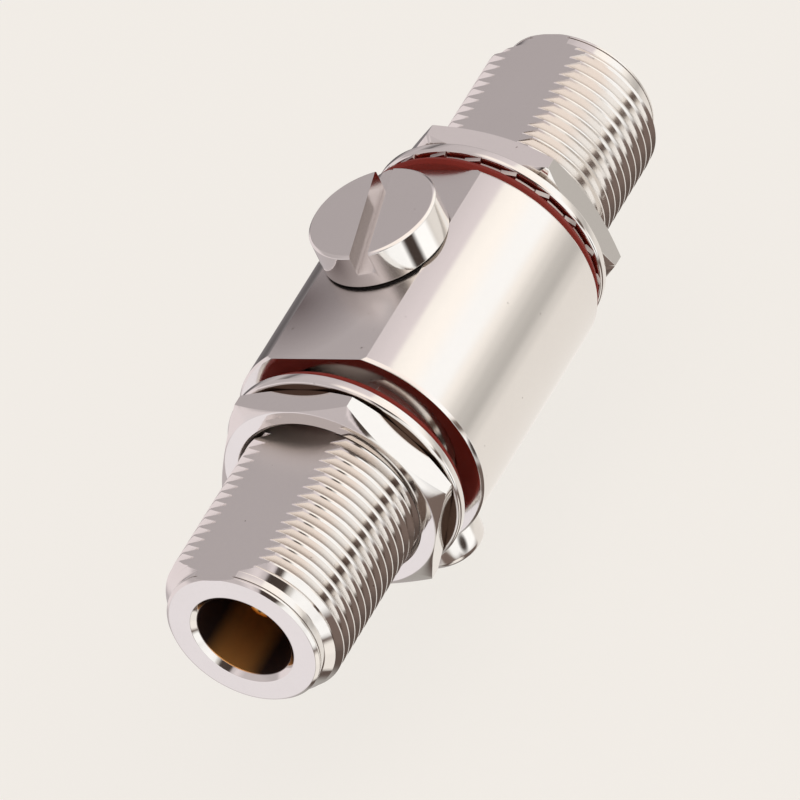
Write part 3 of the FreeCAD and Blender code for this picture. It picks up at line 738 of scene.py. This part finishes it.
# %% Tree of the six flats
def make_nut_tree():
    """A tree that keeps what a blank shares with a six sided bar along the line."""
    tree, given, result = new_tree("six_flats", {
        "Across Flats": "Float", "Middle": "Float", "Turn": "Float", "Material": "Material"})
    give = given.outputs
    corner = maths(tree, "DIVIDE", give["Across Flats"], math.sqrt(3))
    bar = put(tree, "GeometryNodeMeshCylinder", {
        "Vertices": 6, "Side Segments": 1, "Fill Segments": 1, "Radius": corner, "Depth": 0.02})
    turned_bar = put(tree, "GeometryNodeTransform", {
        0: bar.outputs[0],
        "Rotation": put(tree, "ShaderNodeCombineXYZ", {"Z": give["Turn"]}).outputs[0]})
    laid = put(tree, "GeometryNodeTransform", {
        0: turned_bar.outputs[0], "Rotation": (0, math.pi / 2, 0),
        "Translation": put(tree, "ShaderNodeCombineXYZ", {"X": give["Middle"]}).outputs[0]})
    cut = put(tree, "GeometryNodeMeshBoolean", operation="INTERSECT", solver="EXACT")
    tree.links.new(give["Geometry"], cut.inputs[1])
    tree.links.new(laid.outputs[0], cut.inputs[1])
    return close_tree(tree, cut.outputs[0], given, result)


nut_tree = make_nut_tree()
print(nut_tree.name, "nodes:", len(nut_tree.nodes))

# %% [markdown]
# Both nuts are alike and only their turn about the line differs, as the photograph shows it. The blank
# is a little larger than the nut's corners, so the milled flats meet in clean edges, and a small bevel
# lets those edges catch the light.

# %% Panel nuts
NUT_FLATS = 19.1
NUT_FACE = 9.5
NUT_CONE = 0.8
NUT_BORE = THREAD_RADIUS + 0.045
NUT_BORE_EDGE = 0.3
FRONT_NUT_TURN, REAR_NUT_TURN = 90, 90 + 19.6


def make_nut(name, node, turn):
    """A panel nut at its node's place, turned about the line by an angle in degrees."""
    low, high = reach(node, 0)
    corner = NUT_FLATS / math.sqrt(3)
    nut = lathe(name, [
        (low, NUT_BORE + NUT_BORE_EDGE, 0.04),
        (low, NUT_FACE, 0.3),
        (low + NUT_CONE, corner + 0.01),
        (high - NUT_CONE, corner + 0.01),
        (high, NUT_FACE, 0.3),
        (high, NUT_BORE + NUT_BORE_EDGE, 0.04),
        (high - NUT_BORE_EDGE, NUT_BORE),
        (low + NUT_BORE_EDGE, NUT_BORE),
    ])
    run_tree(nut, nut_tree, {
        "Across Flats": NUT_FLATS * MM, "Middle": (low + high) / 2 * MM,
        "Turn": math.radians(turn), "Material": nut_nickel})
    smooth(nut, angle=24, edge=0.05)
    return dress(nut, nut_nickel, node, node)


make_nut("front_panel_nut", "front_nut", FRONT_NUT_TURN)
make_nut("rear_panel_nut", "rear_nut", REAR_NUT_TURN)

# %% [markdown]
# The washers are pressed from sheet, so one edge of each is rolled over and softly rounded. The gaskets
# are cut from rubber sheet and bulge a little where the nut squeezes them. The rear one also creeps
# towards the lock washer as a lip. All are rings, so the lathe makes them.

# %% Washers and gaskets
WASHER_RADIUS = 10.55
WASHER_BORE = THREAD_RADIUS + 0.2
GASKET_BORE = THREAD_RADIUS + CLOSE_FIT
REAR_LIP = 0.2


def make_washer(name, node, body_name, finish):
    """A flat washer at its node's place, whose rolled edge is the lower one along the line."""
    low, high = reach(node, 0)
    washer = lathe(name, [
        (low, WASHER_BORE, 0.08),
        (low, WASHER_RADIUS, 0.3),
        (high, WASHER_RADIUS, 0.14),
        (high, WASHER_BORE, 0.08),
    ])
    smooth(washer)
    return dress(washer, finish, body_name, node)


def make_gasket(name, node, lip=0.0):
    """A squeezed rubber ring, whose rim bulges and may creep towards the lock washer as a lip."""
    low, high = reach(node, 0)
    radius = reach(node, 2)[1]
    outline = [
        (low, GASKET_BORE),
        (low, radius + 0.05, 0.1),
        ((low + high) / 2, radius + 0.25, 0.2),
        (high, radius + 0.05, 0.1),
    ]
    if lip:
        outline += [(high + lip, radius - 0.12, 0.05), (high + lip, radius - 0.6), (high, radius - 0.6)]
    gasket = lathe(name, outline + [(high, GASKET_BORE)])
    smooth(gasket)
    return dress(gasket, red_rubber, "root", node)


make_washer("front_washer", "front_flat_washer", "front_washers", washer_nickel)
make_washer("rear_washer", "rear_flat_washer", "rear_washers", painted_red_reflection_nickel)
make_gasket("front_seal_ring", "front_gasket")
make_gasket("rear_seal_ring", "rear_gasket", REAR_LIP)

# %% [markdown]
# The lock washer's teeth repeat round a ring, which is work for Geometry Nodes: one tooth is a small block
# that narrows and twists towards its tip, and it is set round the line as many times as the input says.

# %% Tree of the ring of teeth
NARROWING = 0.25


def make_tooth_tree():
    """A tree that sets twisted teeth round the line and joins them to the disc that comes in."""
    tree, given, result = new_tree("ring_of_teeth", {
        "Count": "Int", "Root": "Float", "Tip": "Float", "Width": "Float", "Thickness": "Float",
        "Twist": "Float", "Middle": "Float", "Material": "Material"})
    give = given.outputs
    length = maths(tree, "SUBTRACT", give["Tip"], give["Root"])
    size = put(tree, "ShaderNodeCombineXYZ", {
        "X": give["Thickness"], "Y": give["Width"], "Z": length}).outputs[0]
    tooth = put(tree, "GeometryNodeMeshCube", {
        "Size": size, "Vertices X": 2, "Vertices Y": 2, "Vertices Z": 6})
    place = put(tree, "GeometryNodeInputPosition").outputs[0]
    height = put(tree, "ShaderNodeSeparateXYZ", {0: place}).outputs["Z"]
    share = maths(tree, "ADD", maths(tree, "DIVIDE", height, length), 0.5)
    twisted = put(tree, "ShaderNodeVectorRotate", {
        "Vector": place, "Angle": maths(tree, "MULTIPLY", share, give["Twist"])}, rotation_type="Z_AXIS")
    narrow = maths(tree, "SUBTRACT", 1.0, maths(tree, "MULTIPLY", share, NARROWING))
    narrowed = put(tree, "ShaderNodeCombineXYZ", {"X": 1.0, "Y": narrow, "Z": 1.0}).outputs[0]
    shaped = put(tree, "ShaderNodeVectorMath", {0: twisted.outputs[0], 1: narrowed}, operation="MULTIPLY")
    bent = put(tree, "GeometryNodeSetPosition", {0: tooth.outputs[0], "Position": shaped.outputs[0]})
    centre = maths(tree, "MULTIPLY", maths(tree, "ADD", give["Tip"], give["Root"]), 0.5)
    stood = put(tree, "GeometryNodeTransform", {
        0: bent.outputs[0],
        "Translation": put(tree, "ShaderNodeCombineXYZ", {"X": give["Middle"], "Z": centre}).outputs[0]})
    points = put(tree, "GeometryNodePoints", {"Count": give["Count"]})
    number = put(tree, "GeometryNodeInputIndex").outputs[0]
    angle = maths(tree, "MULTIPLY", maths(tree, "DIVIDE", number, give["Count"]), 2 * math.pi)
    turned = put(tree, "ShaderNodeCombineXYZ", {"X": angle}).outputs[0]
    ring = put(tree, "GeometryNodeInstanceOnPoints", {
        "Points": points.outputs[0], "Instance": stood.outputs[0], "Rotation": turned})
    teeth = put(tree, "GeometryNodeRealizeInstances", {0: ring.outputs[0]})
    joined = put(tree, "GeometryNodeMeshBoolean", operation="UNION", solver="EXACT")
    tree.links.new(give["Geometry"], joined.inputs[1])
    tree.links.new(teeth.outputs[0], joined.inputs[1])
    return close_tree(tree, joined.outputs[0], given, result)


tooth_tree = make_tooth_tree()
print(tooth_tree.name, "nodes:", len(tooth_tree.nodes))

# %% [markdown]
# The lock washer's disc is turned and the tree joins twenty teeth to it. It stands in the gap between the
# rear gasket and the flat washer, where the tips of the teeth show.

# %% Lock washer
LOCK_GAP = (BODY_REAR + 0.8, BODY_REAR + 1.75)
DISC_RADIUS, DISC_HALF = 10.15, 0.25

disc_middle = sum(LOCK_GAP) / 2
lock_washer = lathe("lock_washer", [
    (disc_middle - DISC_HALF, WASHER_BORE),
    (disc_middle - DISC_HALF, DISC_RADIUS, 0.1),
    (disc_middle + DISC_HALF, DISC_RADIUS, 0.1),
    (disc_middle + DISC_HALF, WASHER_BORE),
], steps=120)
run_tree(lock_washer, tooth_tree, {
    "Count": 20, "Root": 9.0 * MM, "Tip": 10.5 * MM, "Width": 1.7 * MM, "Thickness": 0.42 * MM,
    "Twist": math.radians(16), "Middle": disc_middle * MM, "Material": tooth_steel})
smooth(lock_washer, angle=40, edge=0.06)
dress(lock_washer, tooth_steel, "rear_washers", "rear_tooth_washer")

# %% [markdown]
# The cap is turned with a threaded boss and a pocket for the spring, and slotted for a coin. The slot
# stands at the angle it has in the photograph. The lathe makes the form, the thread's tree cuts the
# boss, and a block cuts the slot last, as a milling cutter would.

# %% Cap
CAP_HEAD_RADIUS = 5.61
CAP_EDGE = 0.2
CAP_PITCH, CAP_THREAD_DEPTH = 1.0, 0.55
POCKET_DEPTH, POCKET_RADIUS = 3.0, 3.0
SLOT_WIDTH, SLOT_DEPTH, SLOT_ANGLE = 1.66, 1.95, 14.4
SLOT_CUTTER = 7

cap_low, cap_top = reach("tube_cap", 2)
cap_head_low = reach("cap_seal", 2)[1]
cap = lathe("slotted_cap", [
    (cap_low + POCKET_DEPTH, 0),
    (cap_low + POCKET_DEPTH, POCKET_RADIUS),
    (cap_low, POCKET_RADIUS),
    (cap_low, CAP_BOSS, 0.2),
    (cap_head_low, CAP_BOSS),
    (cap_head_low, CAP_HEAD_RADIUS, 0.08),
    (cap_top - CAP_EDGE, CAP_HEAD_RADIUS, 0.12),
    (cap_top, CAP_HEAD_RADIUS - CAP_EDGE, 0.1),
    (cap_top, CAP_HEAD_RADIUS - 0.3),
    (cap_top, 0),
], "Z", (CAP_PLACE, 0, 0))
cut_thread(cap, cap_nickel, CAP_BOSS, CAP_PITCH, CAP_THREAD_DEPTH, cap_low - 0.5, cap_head_low - 0.5,
           (CAP_PLACE, 0, 0), "Z", 72)
slot_turn = Matrix.Translation((CAP_PLACE, 0, 0)) @ Matrix.Rotation(math.radians(SLOT_ANGLE), 4, "Z")
carve(cap, block((-SLOT_CUTTER, -SLOT_WIDTH / 2, cap_top - SLOT_DEPTH),
                 (SLOT_CUTTER, SLOT_WIDTH / 2, cap_top + 1), slot_turn))
smooth(cap, edge=0.05)
dress(cap, cap_nickel, "tube_cap", "tube_cap")

# %% [markdown]
# A thin black ring seals the cap. Only its dark line shows under the head, so a plain turned ring is
# enough. It ends a hair below the head, because two faces in one plane would flicker.

# %% Seal under the cap
SEAL_RADIUS = 5.3
SEAL_PLAY = 0.015

seal_top = cap_head_low - SEAL_PLAY
seal = lathe("cap_ring", [
    (BODY_FLAT, CAP_BOSS + CLOSE_FIT),
    (BODY_FLAT, SEAL_RADIUS, 0.08),
    (seal_top, SEAL_RADIUS, 0.08),
    (seal_top, CAP_BOSS + CLOSE_FIT),
], "Z", (CAP_PLACE, 0, 0))
smooth(seal)
dress(seal, seal_rubber, "cap_carrier", "cap_seal")

# %% [markdown]
# The ground screw stands on the underside with a split washer and a flat washer under its head. A wire's
# lug goes between the washers. The screw is turned and threaded like the cap, and two crossed cuts make
# its recess.

# %% Ground screw
SCREW_RADIUS, SCREW_HEAD_RADIUS = 1.75, 3.25
SCREW_PITCH, SCREW_THREAD_DEPTH = 25.4 / 32, 0.42
RECESS_REACH, RECESS_HALF, RECESS_DEPTH = 1.7, 0.45, 1.4

head_low, shank_end = reach("ground_screw", 2)
lock_low = reach("ground_lock_washer", 2)[0]
screw = lathe("earth_screw", [
    (shank_end, 0),
    (shank_end, SCREW_RADIUS, 0.2),
    (lock_low, SCREW_RADIUS),
    (lock_low, SCREW_HEAD_RADIUS, 0.1),
    (head_low, SCREW_HEAD_RADIUS, 0.8),
    (head_low, 0),
], "Z", (GROUND_PLACE, 0, 0), 128)
cut_thread(screw, screw_nickel, SCREW_RADIUS, SCREW_PITCH, SCREW_THREAD_DEPTH,
           lock_low + 0.5, shank_end + 0.5, (GROUND_PLACE, 0, 0), "Z", 48)
for quarter in (0, 90):
    arm = Matrix.Translation((GROUND_PLACE, 0, 0)) @ Matrix.Rotation(math.radians(quarter), 4, "Z")
    carve(screw, block((-RECESS_REACH, -RECESS_HALF, head_low - 1),
                       (RECESS_REACH, RECESS_HALF, head_low + RECESS_DEPTH), arm))
smooth(screw, edge=0.04)
dress(screw, screw_nickel, "ground_screw", "ground_screw")


# %% [markdown]
# Two small washers lie under the screw's head. Both are turned rings, and a thin block cuts through the
# split one on one side, which is what makes the real one springy.

# %% Washers of the ground screw
def make_ground_washer(name, node, radius):
    """An upright washer at its node's height under the screw's head."""
    low, high = reach(node, 2)
    bore = SCREW_RADIUS + 0.15
    return lathe(name, [(low, bore, 0.05), (low, radius, 0.12), (high, radius, 0.12), (high, bore, 0.05)],
                 "Z", (GROUND_PLACE, 0, 0), 96)


flat_washer = make_ground_washer("earth_flat_washer", "ground_flat_washer", 3.4)
smooth(flat_washer)
dress(flat_washer, screw_nickel, "ground_washers", "ground_flat_washer")
split_washer = make_ground_washer("earth_split_washer", "ground_lock_washer", 3.1)
carve(split_washer, block((0, -0.25, -20), (4, 0.25, 0), Matrix.Translation((GROUND_PLACE, 0, 0))))
smooth(split_washer)
dress(split_washer, screw_nickel, "ground_washers", "ground_lock_washer")

# %% [markdown]
# Inside each mouth a dark amber bead carries the gold plated contact, a socket that four slits make
# springy. The contact is turned in one outline, bores and collar included, and two thin blocks cut the
# four slits at once.

# %% Contacts
CONTACT_RADIUS, COLLAR_RADIUS, COLLAR = 1.52, 2.0, (11.3, 12.3)
SOCKET_RADIUS, SOCKET_DEPTH = 0.84, 5.4
ROD_RADIUS, ROD_HOLE = 0.82, 9.6
SLIT_HALF, SLIT_LENGTH = 0.15, 4.2


def make_contact(name, node, tip, inward):
    """A slotted socket whose mouth is at the tip; inward is the direction into the body."""
    outline = [
        (tip + inward * SOCKET_DEPTH, 0),
        (tip + inward * SOCKET_DEPTH, SOCKET_RADIUS),
        (tip + inward * 0.2, SOCKET_RADIUS),
        (tip, SOCKET_RADIUS + 0.2, 0.03),
        (tip, CONTACT_RADIUS - 0.2, 0.08),
        (tip + inward * 0.3, CONTACT_RADIUS, 0.1),
        (tip + inward * COLLAR[0], CONTACT_RADIUS),
        (tip + inward * COLLAR[0], COLLAR_RADIUS, 0.1),
        (tip + inward * COLLAR[1], COLLAR_RADIUS, 0.1),
        (tip + inward * COLLAR[1], ROD_RADIUS),
        (tip + inward * ROD_HOLE, ROD_RADIUS),
        (tip + inward * ROD_HOLE, 0),
    ]
    contact = lathe(name, outline, steps=64)
    ends = sorted((tip - inward, tip + inward * SLIT_LENGTH))
    carve(contact, block((ends[0], -SLIT_HALF, -3), (ends[1], SLIT_HALF, 3)))
    carve(contact, block((ends[0], -3, -SLIT_HALF), (ends[1], 3, SLIT_HALF)))
    smooth(contact)
    return dress(contact, gold_plate, "root", node)


make_contact("front_socket", "front_contact", reach("front_contact", 0)[0], 1)
make_contact("rear_socket", "rear_contact", reach("rear_contact", 0)[1], -1)

# %% [markdown]
# The insulator is a plain bead of resin with rounded edges. One outline spun about the line is enough,
# with a bore a hair wider than the contact.

# %% Insulators
BEAD_BORE, BEAD_RADIUS = 1.54, 3.48


def make_insulator(name, node):
    """The resin bead that holds a contact on the line's axis."""
    low, high = reach(node, 0)
    bead = lathe(name, [
        (low, BEAD_BORE),
        (low, BEAD_RADIUS, 0.25),
        (high, BEAD_RADIUS, 0.25),
        (high, BEAD_BORE),
    ], steps=96)
    smooth(bead)
    return dress(bead, amber_resin, "root", node)


make_insulator("front_bead", "front_insulator")
make_insulator("rear_bead", "rear_insulator")

# %% [markdown]
# The centre conductor, the gas tube and the spring are sealed in, where no picture shows them. The
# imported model's own shapes are good enough for them, so they only get a finish.

# %% Finish of the sealed pieces
for node, finish in {
        "centre_conductor": plain_brass,
        "gas_tube_bottom_electrode": dull_nickel,
        "gas_tube_top_electrode": dull_nickel,
        "gas_tube_ceramic": fired_ceramic,
        "contact_spring": spring_wire}.items():
    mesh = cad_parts[node].data
    mesh.materials.clear()
    mesh.materials.append(finish)
    print(node, "is finished in", finish.name)

# %% [markdown]
# The studio is mostly the world: bright metal shows its surroundings, so the light is drawn as long soft
# panels that lie along the line. A panel is an angle round the X axis, a brightness and a tint. One ring
# of panels stands on the camera's side, one abreast of the part and one beyond it, and a direction
# between two rings gets a blend. Round cards lie over the rings: a direction, an inner and an outer
# angle, a brightness and a tint.

# %% Panels and cards
BACKGROUND = (0.871, 0.839, 0.791)
WARM, ROSE, PEACH = (1.05, 1.00, 0.945), (1.06, 0.96, 0.98), (1.07, 0.98, 0.92)
COOL, PLAIN, BROWN = (1.02, 0.97, 1.005), (1.00, 1.00, 0.995), (1.25, 0.93, 0.80)
BEYOND = [
    (-180, 0.92, WARM), (-174, 0.77, WARM), (-164, 0.60, WARM), (-154, 0.53, WARM), (-144, 0.72, WARM),
    (-134, 0.84, WARM), (-74, 0.85, WARM), (-44, 0.92, WARM), (-38, 0.20, ROSE), (-14, 0.125, ROSE),
    (-8, 0.21, ROSE), (-2, 0.36, ROSE), (6, 0.44, ROSE), (24, 0.54, ROSE), (32, 0.30, ROSE),
    (38, 0.15, ROSE), (43, 0.44, ROSE), (54, 0.56, ROSE), (80, 0.60, ROSE), (96, 0.70, ROSE),
    (117, 0.78, ROSE), (122, 1.06, WARM), (136, 1.12, WARM), (156, 1.13, PLAIN), (166, 1.13, PLAIN),
    (176, 1.02, WARM),
]
ABREAST = [
    (-180, 1.18, PLAIN), (-175, 1.05, WARM), (-171, 0.15, BROWN), (-164, 0.11, BROWN), (-159, 0.90, WARM),
    (-153, 1.20, PLAIN), (-138, 1.20, PLAIN), (-128, 0.14, BROWN), (-82, 0.10, BROWN), (-70, 0.40, WARM),
    (-50, 0.50, ROSE), (-28, 0.50, ROSE), (-16, 0.82, ROSE), (12, 0.80, ROSE), (22, 0.50, ROSE),
    (82, 0.57, ROSE), (98, 1.07, PEACH), (145, 1.08, PEACH), (170, 1.18, PLAIN),
]
NEARBY = [
    (-180, 1.13, PLAIN), (-160, 1.08, PLAIN), (-137, 0.86, PLAIN), (-125, 0.60, WARM), (-118, 0.16, BROWN),
    (-94, 0.16, BROWN), (-84, 0.60, WARM), (-78, 0.72, WARM), (-45, 0.90, COOL), (-21, 0.91, COOL),
    (-12, 0.77, COOL), (9, 0.76, ROSE), (20, 0.57, ROSE), (82, 0.57, ROSE), (103, 0.78, ROSE),
    (114, 0.60, ROSE), (121, 0.05, BROWN), (148, 0.06, BROWN), (156, 0.60, WARM), (166, 1.08, PLAIN),
]
CARDS = [
    ((-0.55, -0.60, -0.56), 7, 14, 1.13, PLAIN),
    ((-0.93, -0.19, -0.30), 9, 16, 1.13, PLAIN),
    ((-0.33, -0.33, -0.885), 8, 14, 0.98, WARM),
    ((-0.16, -0.10, -0.98), 9, 14, 0.92, WARM),
    ((-0.80, 0.20, -0.56), 8, 13, 0.42, ROSE),
    ((-0.16, -0.81, -0.56), 6, 13, 0.05, BROWN),
]
ABREAST_FROM, BEYOND_FROM = (-0.60, -0.50), (0.40, 0.52)
print("panels:", len(NEARBY) + len(ABREAST) + len(BEYOND), "cards:", len(CARDS))

# %% [markdown]
# A direction's angle round the X axis comes from an arc tangent, and a colour ramp turns it into light.
# The same tree also gives the camera a plain pale backdrop, so the panels are seen in the metal only.

# %% Studio light
def panel_ring(tree, share, panels):
    """A ramp over one turn, in which each panel is (degrees, brightness, tint)."""
    ramp = put(tree, "ShaderNodeValToRGB", {0: share})
    ramp.color_ramp.interpolation = "EASE"
    stops = ramp.color_ramp.elements
    while len(stops) > 1:
        stops.remove(stops[-1])
    for degrees, level, tint in panels + [(180, *panels[0][1:])]:
        place = (degrees + 180) / 360
        stop = stops[0] if degrees == -180 else stops.new(place)
        stop.position = place
        stop.color = (*toned(tint, level), 1)
    return ramp.outputs[0]


def lay_card(tree, under, way, card):
    """Lay a round card over a colour: its direction, inner and outer angle, brightness and tint."""
    direction, inner, outer, level, tint = card
    near = put(tree, "ShaderNodeVectorMath", {0: way, 1: Vector(direction).normalized()},
               operation="DOT_PRODUCT").outputs["Value"]
    share = slope(tree, near, math.cos(math.radians(outer)), math.cos(math.radians(inner)))
    return blend(tree, share, under, toned(tint, level))


def make_world():
    """Draw the three rings of panels and the cards, and hide them from the camera."""
    world = bpy.data.worlds.new("studio")
    bpy.context.scene.world = world
    world.use_nodes = True
    tree = world.node_tree
    tree.nodes.clear()
    way = put(tree, "ShaderNodeTexCoord").outputs["Generated"]
    parts = put(tree, "ShaderNodeSeparateXYZ", {0: way}).outputs
    angle = maths(tree, "ARCTAN2", parts["Z"], parts["Y"])
    share = maths(tree, "ADD", maths(tree, "DIVIDE", angle, 2 * math.pi), 0.5)
    rings = panel_ring(tree, share, NEARBY)
    for panels, depth in ((ABREAST, ABREAST_FROM), (BEYOND, BEYOND_FROM)):
        rings = blend(tree, slope(tree, parts["X"], *depth), rings, panel_ring(tree, share, panels))
    for card in CARDS:
        rings = lay_card(tree, rings, way, card)
    light = put(tree, "ShaderNodeBackground", {0: rings, 1: 1.0})
    backdrop = put(tree, "ShaderNodeBackground", {0: (*BACKGROUND, 1), 1: 1.0})
    seen = put(tree, "ShaderNodeLightPath").outputs["Is Camera Ray"]
    both = put(tree, "ShaderNodeMixShader", {0: seen, 1: light.outputs[0], 2: backdrop.outputs[0]})
    put(tree, "ShaderNodeOutputWorld", {0: both.outputs[0]})
    print(world.name, "nodes:", len(tree.nodes))


make_world()

# %% [markdown]
# The floor is a plain pale sheet below the part. A camera ray sees mostly its colour and a little of its
# shading, so the shadow stays soft and pale, and reflections look through it to the panels.

# %% Floor
FLOOR_DROP = 4.0
FLOOR_HALF = 3.0
GLOW = 1.055
SHADED_SHARE = 0.15

floor_height = cad_low.z - FLOOR_DROP * MM
floor_mesh = bpy.data.meshes.new("floor")
floor_mesh.from_pydata([(-FLOOR_HALF, -FLOOR_HALF, floor_height), (FLOOR_HALF, -FLOOR_HALF, floor_height),
                        (FLOOR_HALF, FLOOR_HALF, floor_height), (-FLOOR_HALF, FLOOR_HALF, floor_height)],
                       [], [(0, 1, 2, 3)])
floor = add_object("floor", floor_mesh)
floor_finish = bpy.data.materials.new("pale_floor")
floor_finish.use_nodes = True
floor_tree = floor_finish.node_tree
floor_tree.nodes.clear()
paper = put(floor_tree, "ShaderNodeBsdfDiffuse", {0: (*BACKGROUND, 1)}).outputs[0]
glow = put(floor_tree, "ShaderNodeEmission", {0: (*BACKGROUND, 1), 1: GLOW}).outputs[0]
clear = put(floor_tree, "ShaderNodeBsdfTransparent").outputs[0]
rays = put(floor_tree, "ShaderNodeLightPath").outputs
shown = put(floor_tree, "ShaderNodeMixShader", {0: SHADED_SHARE, 1: glow, 2: paper}).outputs[0]
seen = put(floor_tree, "ShaderNodeMixShader", {0: rays["Is Camera Ray"], 1: paper, 2: shown}).outputs[0]
mirrored = put(floor_tree, "ShaderNodeMixShader", {0: rays["Is Glossy Ray"], 1: seen, 2: clear}).outputs[0]
put(floor_tree, "ShaderNodeOutputMaterial", {0: mirrored})
floor_mesh.materials.append(floor_finish)
print("floor height in mm:", round(floor_height / MM, 2))

# %% [markdown]
# The camera stands where the photographer's did: far off, with a long lens, and rolled so that the line
# runs from corner to corner. Its place was fitted to the mouth's circles, the flats and the thread's
# pitch. The plain Standard view keeps the colours as they are drawn.

# %% Camera
CAMERA_PLACE = Vector((-793.31, -735.28, 748.68)) * MM
CAMERA_AIM = Vector((21.945, 0.906, -1.886)) * MM
CAMERA_ROLL = math.radians(-26.275)
LENS = 726.24
lens_data = bpy.data.cameras.new("camera")
lens_data.sensor_width = 36
lens_data.lens = LENS
lens_data.clip_start = 0.01
lens_data.clip_end = 20
camera = bpy.data.objects.new("camera", lens_data)
bpy.context.scene.collection.objects.link(camera)
look = (CAMERA_AIM - CAMERA_PLACE).to_track_quat("-Z", "Y").to_matrix().to_4x4()
camera.matrix_world = Matrix.Translation(CAMERA_PLACE) @ look @ Matrix.Rotation(CAMERA_ROLL, 4, "Z")
bpy.context.scene.camera = camera
bpy.context.scene.view_settings.view_transform = "Standard"
print("camera distance in mm:", round((CAMERA_AIM - CAMERA_PLACE).length / MM))
